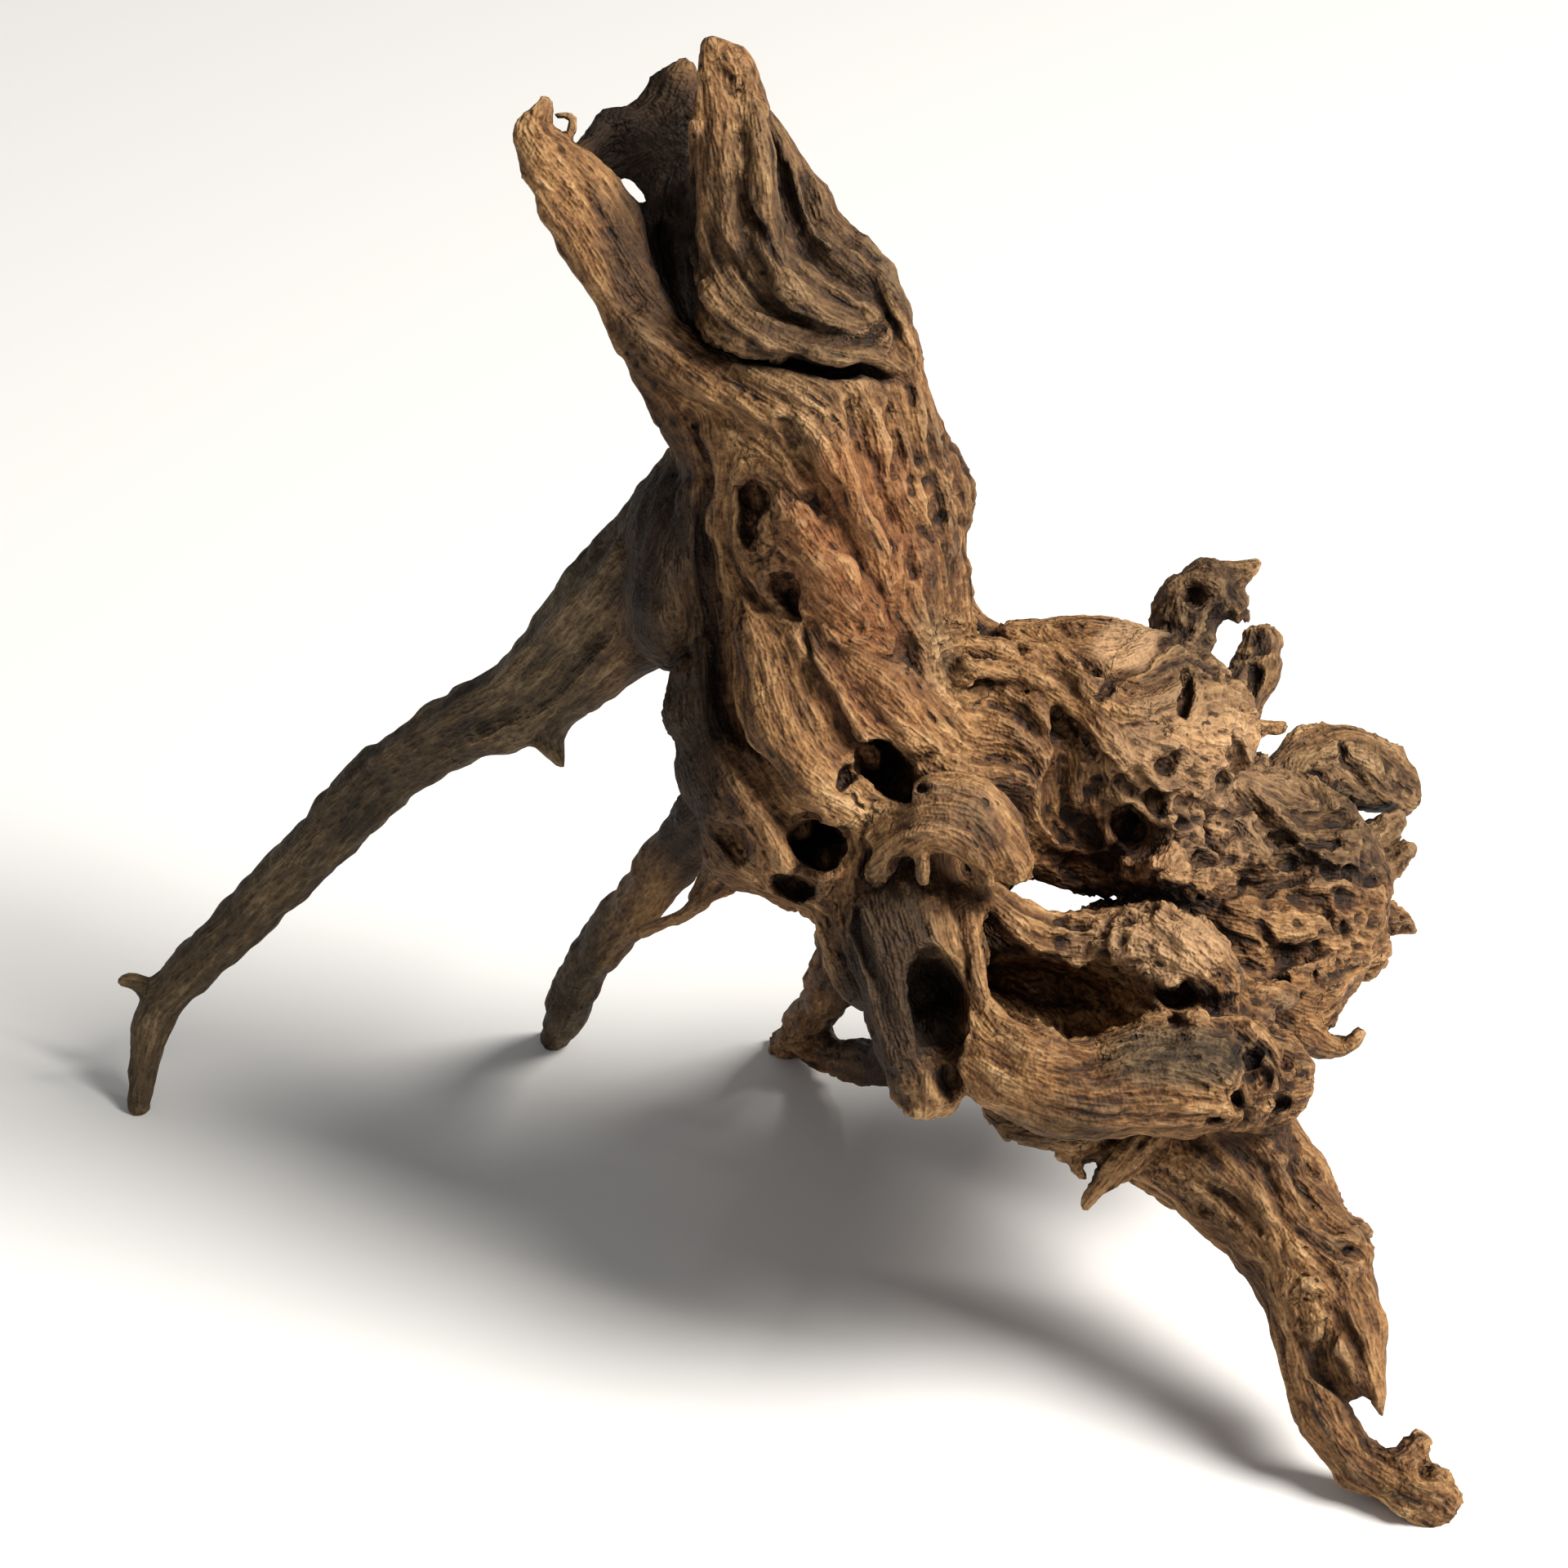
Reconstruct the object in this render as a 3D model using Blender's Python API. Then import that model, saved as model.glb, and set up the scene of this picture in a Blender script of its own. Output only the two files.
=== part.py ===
"""A piece of driftwood: the weathered butt of a root, in one piece, standing on the tips of its limbs.

The wood is built up as a distance field. Limbs and lobes are merged with soft joins, hollows are taken
out of them, and the surface of what is left becomes one closed mesh, which stands on four limb tips.

Every shape is laid out on a face drawing, a square sheet that shows the piece as an eye sees it that looks
down on it from the front. A point is (across, up, out, radius), in millimetres: across from the sheet's left
edge, up from its bottom edge, and out of the sheet, towards the eye.
"""

import math

import bmesh
import bpy
import numpy as np
import openvdb
from mathutils import Matrix

# The face drawing, in millimetres
SHEET = 480.0
EYE_DISTANCE = 1500.0
EYE_ELEVATION = math.radians(30.0)

# The build
GRID_STEP = 2.0
BAND = 16.0
TRIANGLES = 9600
FLOOR_HEIGHT = -194.0
CENTRE_ACROSS = -9.4
CENTRE_DEPTH = 20.5
FLOOR_BLOCK = (0.8, 0.6, 0.05)
MM = 0.001


def true_place(across, up, out):
    """Where a point of the drawing is, in mm from the sheet's middle. What lies further back is truly larger."""
    spread = (EYE_DISTANCE - out) / EYE_DISTANCE
    return np.array([(across - SHEET / 2) * spread, (up - SHEET / 2) * spread, out]), spread


def smooth_min(a, b, blend):
    share = np.clip(0.5 + 0.5 * (b - a) / blend, 0.0, 1.0)
    return b + (a - b) * share - blend * share * (1.0 - share)


def noise(x, y, z, seed):
    """Smooth noise between -1 and 1 over a grid of points, from a hash of the eight corners round each."""
    total = 0.0
    low, part = zip(*((np.floor(c).astype(np.int64), c - np.floor(c)) for c in (x, y, z)))
    part = [p * p * (3.0 - 2.0 * p) for p in part]
    for corner in np.ndindex(2, 2, 2):
        i, j, k = (c + d for c, d in zip(low, corner))
        mixed = (i * 374761393 + j * 668265263 + k * 2147483647 + seed * 1274126177) & 0xFFFFFFFF
        mixed = ((mixed ^ (mixed >> 13)) * 1103515245) & 0xFFFFFFFF
        value = ((mixed ^ (mixed >> 16)) & 0xFFFF) / 32767.5 - 1.0
        share = 1.0
        for p, d in zip(part, corner):
            share = share * (p if d else 1.0 - p)
        total = total + share.astype(np.float32) * value.astype(np.float32)
    return total


def smooth_curve(points, steps=5):
    """Points along a Catmull-Rom curve through the given ones."""
    points = np.array(points, np.float64)
    ends = np.vstack([2 * points[0] - points[1], points, 2 * points[-1] - points[-2]])
    curve = []
    for a, b, c, d in zip(ends, ends[1:], ends[2:], ends[3:]):
        for t in np.arange(steps) / steps:
            curve.append(
                0.5 * (2 * b + (c - a) * t + (2 * a - 5 * b + 4 * c - d) * t**2 + (3 * b - a - 3 * c + d) * t**3)
            )
    return np.array([*curve, points[-1]])


class Limb:
    """A tapering round or flattened limb along a smooth curve."""

    def __init__(self, points, flat=1.0, facing=(0.0, 0.0, 1.0)):
        places = []
        for across, up, out, radius in points:
            place, spread = true_place(across, up, out)
            places.append([*place, radius * spread])
        self.curve = smooth_curve(places)
        self.flat = flat
        self.facing = np.array(facing) / np.linalg.norm(facing)
        reach = self.curve[:, 3:] * max(1.0, flat)
        self.low = (self.curve[:, :3] - reach).min(0)
        self.high = (self.curve[:, :3] + reach).max(0)

    def squeezed(self, x, y, z):
        """The coordinates with the flattened direction stretched back to round."""
        n = self.facing
        along = (x * n[0] + y * n[1] + z * n[2]) * (1.0 / self.flat - 1.0)
        return x + along * n[0], y + along * n[1], z + along * n[2]

    def distance(self, x, y, z):
        nearest = None
        if self.flat != 1.0:
            x, y, z = self.squeezed(x, y, z)
            middles = np.column_stack(self.squeezed(*self.curve[:, :3].T))
        else:
            middles = self.curve[:, :3]
        for a, b, ra, rb in zip(middles, middles[1:], self.curve[:, 3], self.curve[1:, 3]):
            axis = b - a
            t = (x - a[0]) * axis[0] + (y - a[1]) * axis[1] + (z - a[2]) * axis[2]
            t = np.clip(t / max(axis @ axis, 1e-9), 0.0, 1.0)
            gap = (x - a[0] - t * axis[0]) ** 2
            gap = gap + (y - a[1] - t * axis[1]) ** 2
            gap = gap + (z - a[2] - t * axis[2]) ** 2
            gap = np.sqrt(gap) - (ra + t * (rb - ra))
            nearest = gap if nearest is None else np.minimum(nearest, gap)
        return nearest * min(1.0, self.flat)


class Lobe:
    """An ellipsoid, turned in the plane of the drawing."""

    def __init__(self, across, up, out, radii, turn=0.0):
        self.middle, spread = true_place(across, up, out)
        self.radii = np.array(radii) * spread
        self.turn = math.radians(turn)
        c, s = abs(math.cos(self.turn)), abs(math.sin(self.turn))
        rx, ry, rz = self.radii
        reach = np.array([rx * c + ry * s, rx * s + ry * c, rz])
        self.low, self.high = self.middle - reach, self.middle + reach

    def distance(self, x, y, z):
        c, s = math.cos(self.turn), math.sin(self.turn)
        x, y, z = x - self.middle[0], y - self.middle[1], z - self.middle[2]
        x, y = x * c + y * s, y * c - x * s
        rx, ry, rz = self.radii
        near = np.sqrt((x / rx) ** 2 + (y / ry) ** 2 + (z / rz) ** 2)
        slope = np.sqrt((x / rx**2) ** 2 + (y / ry**2) ** 2 + (z / rz**2) ** 2)
        return near * (near - 1.0) / np.maximum(slope, 1e-6)


class Wood:
    """The distance to the wood's surface on a regular grid, negative inside."""

    def __init__(self, low, high, step):
        self.step = step
        self.axes = [np.arange(a, b, step, dtype=np.float32) for a, b in zip(low, high)]
        self.field = np.full([len(a) for a in self.axes], BAND, np.float32)

    def window(self, shape, margin):
        """The part of the grid that a shape can change: its slices and its coordinates."""
        spans = tuple(
            slice(*np.searchsorted(a, (lo - margin, hi + margin)))
            for a, lo, hi in zip(self.axes, shape.low, shape.high)
        )
        return spans, np.meshgrid(*(a[s] for a, s in zip(self.axes, spans)), indexing="ij", sparse=True)

    def add(self, shape, blend=6.0):
        spans, (x, y, z) = self.window(shape, BAND)
        joined = smooth_min(self.field[spans], shape.distance(x, y, z), blend)
        self.field[spans] = np.clip(joined, -BAND, BAND)

    def cut(self, shape, blend=2.5):
        spans, (x, y, z) = self.window(shape, BAND)
        left = -smooth_min(-self.field[spans], shape.distance(x, y, z), blend)
        self.field[spans] = np.clip(left, -BAND, BAND)

    def face(self, across, up, rear=False):
        """How far out the surface lies where the eye's line through a point of the sheet meets it, or None."""
        outs = np.arange(self.axes[2][-1], self.axes[2][0], -0.5 * self.step)
        outs = outs[::-1] if rear else outs
        spread = (EYE_DISTANCE - outs) / EYE_DISTANCE
        places = ((across - SHEET / 2) * spread, (up - SHEET / 2) * spread, outs)
        cells = tuple(
            np.clip(np.rint((p - a[0]) / self.step).astype(int), 0, len(a) - 1) for p, a in zip(places, self.axes)
        )
        inside = self.field[cells] < 0.0
        return outs[np.argmax(inside)] if inside.any() else None

    def laid_on(self, points, lift, rear):
        """Points of (across, up, radius) laid on the surface, lifted by a share of the radius."""
        side = -1.0 if rear else 1.0
        faces = [(x, y, self.face(x, y, rear), r) for x, y, r in points]
        return [(x, y, out + side * lift * r, r) for x, y, out, r in faces if out is not None]

    def ridge(self, points, lift=-0.35, rear=False):
        """A ridge along the surface."""
        self.add(Limb(self.laid_on(points, lift, rear)), blend=max(2.0, 0.7 * points[0][2]))

    def groove(self, points, lift=0.35, rear=False):
        """A groove along the surface."""
        self.cut(Limb(self.laid_on(points, lift, rear)), blend=max(1.5, 0.5 * points[0][2]))

    def pit(self, across, up, radii, turn=0.0, rear=False):
        """A hole that goes into the surface."""
        self.cut(Lobe(across, up, self.face(across, up, rear), radii, turn))

    def lumps(self, size, height, seed):
        """Uneven lumps all over the surface."""
        x, y, z = np.meshgrid(*self.axes, indexing="ij", sparse=True)
        self.field += height * noise(x / size, y / size, z / size, seed)

    def mesh(self, name):
        """The surface as a mesh, in millimetres in the frame of the drawing."""
        grid = openvdb.FloatGrid(background=BAND)
        grid.copyFromArray(self.field)
        points, _, quads = grid.convertToPolygons(0.0, 0.0)
        points = points * self.step + [a[0] for a in self.axes]
        mesh = bpy.data.meshes.new(name)
        mesh.from_pydata(points.tolist(), [], quads[:, ::-1].tolist())
        return mesh


def trunk(wood):
    """The hollow trunk: one stem below, and above it a front wall, a back wall and a thin left plank."""
    wood.add(Limb([
        (257, 240, -20, 40),
        (258, 262, -16, 41),
        (258, 285, -12, 40),
        (256, 308, -8, 40),
        (252, 330, -3, 40),
        (246, 350, 0, 39),
        (238, 366, 2, 33),
    ]), blend=10)
    wood.add(Lobe(207, 305, -16, (14, 30, 26), turn=-8), blend=6)
    wood.add(Limb([
        (220.5, 462, 39, 6.5),
        (222.5, 455, 38, 9.5),
        (225, 442, 36, 12.5),
        (229, 430, 34, 16),
        (232, 417, 32, 19),
        (237, 404, 30, 24),
        (242, 393, 28, 27.5),
        (249, 383, 25, 28.5),
        (254, 376, 22, 25),
    ], flat=0.66, facing=(0.25, 0.1, 0.95)), blend=4)
    wood.add(Limb([
        (209, 457, 10, 6),
        (207, 450, 7, 9.5),
        (206, 440, 4, 13),
        (205, 425, 1, 16),
        (206, 405, -3, 20),
        (213, 385, -6, 22),
        (227, 362, -6, 24),
    ], flat=0.4), blend=5)
    wood.add(Limb([(204, 443, 6, 8), (195, 440, 8, 7.5), (186, 440, 10, 6), (181, 435, 16, 4.5), (176, 432, 24, 3)],
                  flat=0.6), blend=3)
    wood.add(Limb([(198, 437, 4, 8), (190, 431, 6, 6), (183, 428.5, 10, 4.5)], flat=0.6), blend=3)
    wood.add(Limb([
        (167, 447, 34, 3),
        (164, 440, 34, 6),
        (168.5, 430, 33, 10),
        (178, 418, 31, 13.5),
        (187, 404, 29, 13.5),
        (194.5, 391, 27, 13.5),
        (202, 378, 24, 14.5),
        (212, 364, 18, 16.5),
        (222, 350, 10, 18),
    ], flat=0.45, facing=(0.4, 0.0, 0.9)), blend=6)


def trunk_hollow(wood):
    """The deep slot between the plank and the front wall, which runs out to the right under a lip."""
    wood.cut(Limb([
        (186, 464, 40, 12),
        (192, 450, 38, 10),
        (199, 432, 33, 9.5),
        (203.5, 416, 30, 7.5),
        (204.5, 402, 28, 5.5),
    ], flat=2.3), blend=2)
    wood.cut(Limb([
        (203.5, 412, 22, 5),
        (205, 400, 22, 4.8),
        (208.5, 390, 23, 4.4),
        (214, 380.5, 27, 4),
        (222, 372.5, 32, 3.8),
        (235, 368.5, 36, 3.6),
        (250, 367, 38, 3.2),
        (265, 367, 38, 2.8),
        (277, 364.5, 34, 2),
    ], flat=4.5), blend=1.5)
    for out in range(-30, 50, 10):
        wood.cut(Limb([(190.5, 424, out, 1.6), (194, 421, out, 2.6), (196.5, 418, out, 1.8)], flat=3), blend=0.5)


def trunk_relief(wood):
    """The folds and ridges of the trunk: the band that crosses it under the slot, and the folded grain."""
    wood.ridge([(196, 378, 6), (208, 370, 8), (224, 362, 9), (240, 356, 9), (252, 348, 9), (258, 336, 8), (263, 322, 6)])
    wood.ridge([(278, 366, 4), (281, 352, 5), (285, 338, 5), (288, 326, 5), (289, 312, 4)])
    wood.groove([(262, 356, 4), (266, 344, 4.5), (270, 331, 4), (276, 318, 3.5), (281, 304, 2)])
    wood.groove([(273, 354, 3), (276, 342, 3), (281, 330, 2.5)])
    wood.groove([(240, 350, 3), (246, 338, 3.5), (252, 325, 3)])
    wood.ridge([(232, 446, 3), (233, 428, 3.5), (233, 410, 3.5), (240, 395, 4), (252, 383, 4), (270, 376, 3.5)])
    wood.groove([(226, 440, 2.5), (227, 420, 3), (228, 405, 3.5), (233, 392, 3.5), (244, 381, 3), (258, 376, 2)])
    wood.groove([(238, 430, 2), (240, 415, 3), (243, 402, 3), (252, 392, 3), (264, 384, 2)])
    wood.ridge([(214, 440, 3), (213, 418, 3.5), (212, 402, 5), (215, 388, 5.5), (223, 378, 5), (238, 373, 4.5)])
    wood.ridge([(252, 404, 4), (264, 394, 5), (274, 382, 5), (279, 370, 3.5)])
    wood.pit(232, 328, (6, 5, 8), turn=-30)
    wood.pit(230, 318, (4, 7, 8))
    wood.pit(240, 300, (6, 7, 6))
    wood.groove([(222, 336, 2), (221, 320, 3), (224, 305, 3), (232, 296, 3), (243, 291, 2)])
    wood.ridge([(242, 326, 4), (250, 312, 6), (254, 300, 7), (262, 294, 6), (270, 290, 4)])
    wood.ridge([(212, 330, 4), (212, 310, 6), (216, 290, 7), (220, 276, 7)])
    wood.ridge([(252, 280, 4), (262, 286, 4.5), (271, 300, 4), (276, 316, 3)])
    wood.groove([(246, 288, 3), (254, 280, 3), (268, 276, 2.5), (280, 280, 2)])
    wood.add(Limb([(288, 342, -6, 5), (294, 332, -6, 5), (293, 322, -6, 4)]), blend=4)
    wood.cut(Lobe(311.5, 305, -20, (15.5, 16.5, 60)), blend=2)
    wood.cut(Lobe(303, 295, -20, (7, 5.5, 60)), blend=2)


def left_limb(wood):
    """The long limb that runs back and down to the left, with its two spurs and thin foot."""
    wood.add(Limb([
        (232, 324, -22, 32),
        (206, 307, -38, 23.5),
        (182, 285, -60, 18.8),
        (162, 266.5, -80, 14.4),
        (140, 256.5, -97, 11.3),
        (118, 242, -118, 10),
        (93, 217, -146, 9),
        (72, 196, -168, 8),
        (54, 178, -183, 7),
        (47, 168, -188, 6),
        (44, 155, -190, 4.2),
        (42, 140, -193, 3.6),
    ]), blend=9)
    wood.add(Limb([(167, 259, -78, 6), (170, 251, -78, 3.5), (171.5, 246.5, -78, 1.7)]), blend=4)
    wood.add(Limb([(48, 176, -186, 4.5), (42, 179, -186, 3), (37, 180, -186, 1.8)]), blend=3)
    wood.ridge([(190, 310, 4), (172, 288, 5), (158, 273, 4), (138, 260, 3), (116, 246, 3)])
    wood.groove([(186, 288, 3), (168, 268, 3.5), (148, 257, 2.5)])


def middle_limb(wood):
    """The short limb under the left lobe, and the two twigs beside it."""
    wood.add(Limb([
        (240, 243, -60, 15),
        (219, 231, -84, 10.5),
        (206.5, 218, -112, 8.8),
        (194, 202, -146, 8),
        (180.5, 186.5, -180, 7.2),
        (174, 172.5, -210, 6.8),
        (170, 162.5, -230, 4.4),
    ]), blend=8)
    wood.add(Lobe(228, 219, -22, (13, 10.5, 18)), blend=6)
    wood.add(Limb([(224, 213, -24, 4), (213, 203, -30, 2.4), (205, 197.5, -36, 1.9), (197, 194, -40, 1.7)]), blend=3)
    wood.add(Limb([(219, 215, -28, 3), (214.5, 210, -32, 1.9), (211, 206, -34, 1.7)]), blend=3)


def rear_roots(wood):
    """The two short roots under the column, which meet at the rear foot."""
    wood.add(Limb([(268, 205, -50, 14), (258, 187, -110, 9), (253, 176, -160, 7.6), (247.5, 167, -200, 7),
                   (241, 160, -225, 5.4)]), blend=6)
    wood.add(Limb([(292, 168, -60, 12), (280, 158, -120, 8), (268, 155, -160, 6.4), (257, 157, -190, 5.4),
                   (248, 159, -208, 4.5)]), blend=5)
    wood.add(Limb([(256, 193, -40, 3.5), (247, 194, -44, 1.7)]), blend=2)


def burl(wood):
    """The gnarled mass: an upper arm, the left lobe, the column, the bowl below and the knobbed right side."""
    wood.add(Lobe(268, 246, -24, (46, 34, 38)), blend=12)
    wood.add(Limb([(288, 250, -24, 30), (322, 253, -30, 36.5), (344, 254, -36, 35), (358, 255, -44, 27)]), blend=6)
    wood.add(Lobe(238, 236, -8, (25, 27, 27)), blend=8)
    wood.add(Lobe(214, 261, -12, (11, 11, 18)), blend=6)
    wood.add(Lobe(220, 246, -14, (12, 16, 20)), blend=6)
    wood.add(Lobe(250, 216, 0, (17, 11, 18), turn=-18), blend=6)
    wood.add(Limb([(376, 224, -76, 24), (396, 212, -86, 28), (396, 198, -84, 26), (386, 182, -72, 26)]), blend=8)
    wood.add(Lobe(364, 208, -78, (34, 36, 34)), blend=10)
    wood.add(Limb([(272, 206, -6, 24), (276, 191, 2, 24), (280.5, 180, 6, 20.5), (284, 167, 9, 18), (285, 155, 10, 14),
                   (282, 145, 10, 7.5)]), blend=7)
    wood.add(Lobe(338, 168, -28, (52, 28, 36), turn=-4), blend=10)
    wood.add(Limb([(296, 160, 16, 11), (312, 151, 20, 13), (330, 144.5, 20, 12.5), (350, 149, 16, 15), (372, 151, 8, 18),
                   (386, 150, -4, 16)]), blend=6)
    wood.add(Lobe(356, 188, -12, (25, 15, 24), turn=-14), blend=5)


def burl_hollows(wood):
    """What is open in the burl: the bowl, and the holes between its lobes."""
    wood.cut(Lobe(324, 177, 10, (29, 13, 34), turn=-12), blend=3)
    wood.cut(Lobe(322, 171.5, 4, (24, 12.5, 30), turn=-10), blend=3)
    wood.cut(Lobe(330, 167, 2, (15, 11, 28)), blend=3)
    wood.cut(Lobe(308, 190, 18, (7, 13, 22), turn=-28), blend=3)
    wood.add(Lobe(307, 190, -28, (14, 13, 14)), blend=4)
    wood.add(Lobe(304, 214, -34, (9, 8, 18)), blend=4)
    wood.add(Limb([(310, 218, -30, 6), (322, 214.5, -34, 6), (334, 211.5, -34, 6), (346, 210, -34, 6)]), blend=4)
    wood.add(Lobe(360, 213, -26, (20, 10, 20), turn=-6), blend=5)
    wood.add(Limb([(299, 207, 0, 6), (309, 200, 0, 6.5), (320, 194.5, -2, 6.5), (334, 194, -8, 8)]), blend=3)
    wood.pit(250, 221, (9, 9, 18))
    wood.pit(224, 222, (5, 7, 12), turn=20)
    wood.pit(244, 209.5, (6, 4.5, 12))
    wood.pit(272, 243, (12, 8.5, 18), turn=-50)
    wood.pit(286, 171, (11, 19, 20), turn=8)
    wood.pit(291, 148, (4, 7, 9))
    wood.pit(360, 176, (6, 6, 12))
    wood.pit(346, 227, (6, 7, 14), turn=20)
    wood.pit(327, 262, (4, 7, 9), turn=-40)
    wood.groove([(325, 265, 4), (332, 256, 6), (337, 243, 6), (336, 228, 6), (331, 220, 4)], lift=0.1)


def slit(wood):
    """The slit right through the burl, under the tip of the lip."""
    for out in range(-100, 50, 10):
        wood.cut(Limb([(311, 209, out, 1.4), (316, 208.4, out, 2.6), (324, 204.6, out, 2.6), (334, 204.2, out, 2),
                       (343, 205.6, out, 1.2)], flat=5), blend=0.5)


def burl_relief(wood):
    """The bands and folds that sweep over the burl."""
    wood.ridge([(232, 286, 6), (236, 270, 8), (240, 254, 9), (250, 242, 9), (262, 232, 8), (268, 226, 6)])
    wood.groove([(220, 280, 4), (221, 262, 5), (226, 248, 5), (236, 234, 5), (242, 228, 4)])
    wood.groove([(246, 276, 3), (252, 262, 4), (260, 252, 4)])
    wood.ridge([(262, 278, 5), (274, 264, 6), (286, 252, 6), (298, 243, 5), (312, 240, 4)])
    wood.groove([(282, 262, 3), (296, 250, 4), (312, 248, 4), (322, 240, 4)])
    wood.ridge([(296, 282, 4), (316, 276, 6), (332, 270, 6), (346, 260, 6), (358, 250, 5)])
    wood.groove([(306, 266, 3), (316, 258, 4), (322, 246, 4)])
    wood.ridge([(286, 244, 5), (300, 232, 7), (312, 222, 7), (322, 214, 5)])
    wood.pit(296, 272, (5, 4, 4), turn=-20)
    wood.pit(332, 276, (7, 5, 5))
    wood.groove([(338, 262, 3), (352, 256, 4), (362, 262, 3)])
    wood.ridge([(346, 246, 5), (356, 236, 7), (362, 224, 7), (356, 214, 6)])
    wood.groove([(350, 236, 3), (366, 234, 3.5), (378, 226, 3)])
    wood.groove([(366, 218, 4), (380, 210, 4), (396, 210, 3.5)])
    wood.groove([(378, 250, 4), (382, 236, 5), (394, 224, 5), (408, 224, 4)])
    wood.ridge([(376, 200, 5), (392, 196, 6), (410, 196, 5)])
    wood.groove([(376, 190, 4), (390, 187, 4), (404, 190, 3)])
    wood.ridge([(384, 176, 4), (396, 176, 4), (408, 178, 3)])
    wood.pit(396, 215, (8, 5, 8))
    wood.pit(346, 240, (5, 5, 7))
    wood.ridge([(298, 206, 4), (298, 192, 3.5), (301, 178, 4), (308, 168, 4.5), (320, 160, 5)], lift=0.1)
    wood.groove([(330, 156, 3), (345, 160, 3.5), (362, 163, 3)])
    wood.ridge([(306, 164, 4), (318, 158, 5), (332, 157, 5), (350, 164, 5), (366, 166, 5)])
    wood.groove([(380, 165, 4), (384, 155, 4), (380, 142, 3)])
    wood.ridge([(264, 200, 4), (268, 184, 5), (274, 166, 5), (277, 150, 4)])
    wood.groove([(262, 196, 2.5), (269, 180, 3), (275, 162, 2.5)])
    wood.ridge([(356, 198, 6), (366, 190, 7), (374, 182, 6), (374, 172, 5)])


def flap(wood):
    """The curled lip that stands out over the column, in two folds with a hollow under them."""
    wood.cut(Limb([(273, 208, 36, 3.5), (282, 215, 38, 5.5), (292, 215, 38, 5.5), (301, 208, 34, 4)], flat=3), blend=2)
    wood.add(Limb([(267, 228, 15, 5), (277, 232, 22, 7), (288, 235, 27, 8.5), (299, 232.5, 28, 8.5),
                   (307, 225.5, 26, 7.5), (312, 217.5, 22, 5.2), (315, 211.5, 18, 2.6)]), blend=4)
    wood.cut(Limb([(277, 226, 38, 1.8), (285, 229, 42, 2.2), (293, 228.5, 43, 2.4), (300, 224.5, 41, 2.4),
                   (304.5, 217, 36, 2.2)], flat=3), blend=1)
    wood.add(Limb([(269, 214, 22, 4.5), (276, 220.5, 29, 5), (285, 224, 34, 5.2), (294, 222.5, 35, 5.2),
                   (300, 216.5, 31, 4.4), (302, 210, 27, 2.8)]), blend=2)
    wood.add(Limb([(281, 218, 30, 3), (282.5, 210, 30, 1.8)]), blend=2)


def knobs(wood):
    """The knobs, flakes and twigs along the right side."""
    wood.add(Limb([(358, 252, -45, 17), (362, 266, -50, 12.5), (362, 280, -54, 9.6), (363, 292, -56, 11),
                   (369, 299, -57, 9)]), blend=4)
    wood.add(Limb([(370, 301, -57, 7), (378, 304, -57, 4.5), (385, 308, -57, 1.8)]), blend=2.5)
    wood.add(Limb([(374, 299, -58, 6), (379, 294, -58, 4.8), (380, 290.5, -58, 3.2)]), blend=2.5)
    wood.add(Limb([(373, 256, -64, 10), (379.5, 266, -74, 8.2), (384.5, 275, -80, 7.2), (386, 282.5, -84, 6.4)]), blend=2)
    wood.add(Limb([(380, 256, -60, 3.5), (387, 257, -64, 2.8), (393, 257.5, -66, 2)]), blend=2)
    wood.add(Limb([(388, 226, -90, 13), (399, 242, -106, 12), (414, 243, -116, 11), (428, 238, -126, 7)]), blend=3)
    wood.add(Limb([(398, 251, -104, 6), (408, 253, -110, 5), (422, 249, -118, 5), (430, 242, -124, 4)]), blend=2)
    wood.add(Limb([(406, 219, -104, 10), (420, 222, -110, 6.5), (428, 229, -112, 2.6)]), blend=2)
    wood.add(Limb([(408, 211, -98, 9), (423, 214, -106, 5.5), (430, 219, -106, 2.6)]), blend=2)
    wood.add(Limb([(410, 201, -94, 10), (423, 200, -100, 6.5), (430, 198, -100, 3)]), blend=2.5)
    wood.add(Limb([(404, 190, -85, 12), (417, 189, -90, 8.6)]), blend=3)
    wood.add(Limb([(394, 168, -60, 8), (404, 161, -64, 3.5), (411, 160, -66, 2.6), (416, 163, -66, 2.4)]), blend=3)
    wood.pit(366, 298, (4, 3.5, 6))
    wood.pit(372, 290, (3, 4, 6))
    wood.pit(384, 272, (2.5, 6, 5))
    wood.pit(404, 240, (6, 4, 5))


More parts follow.
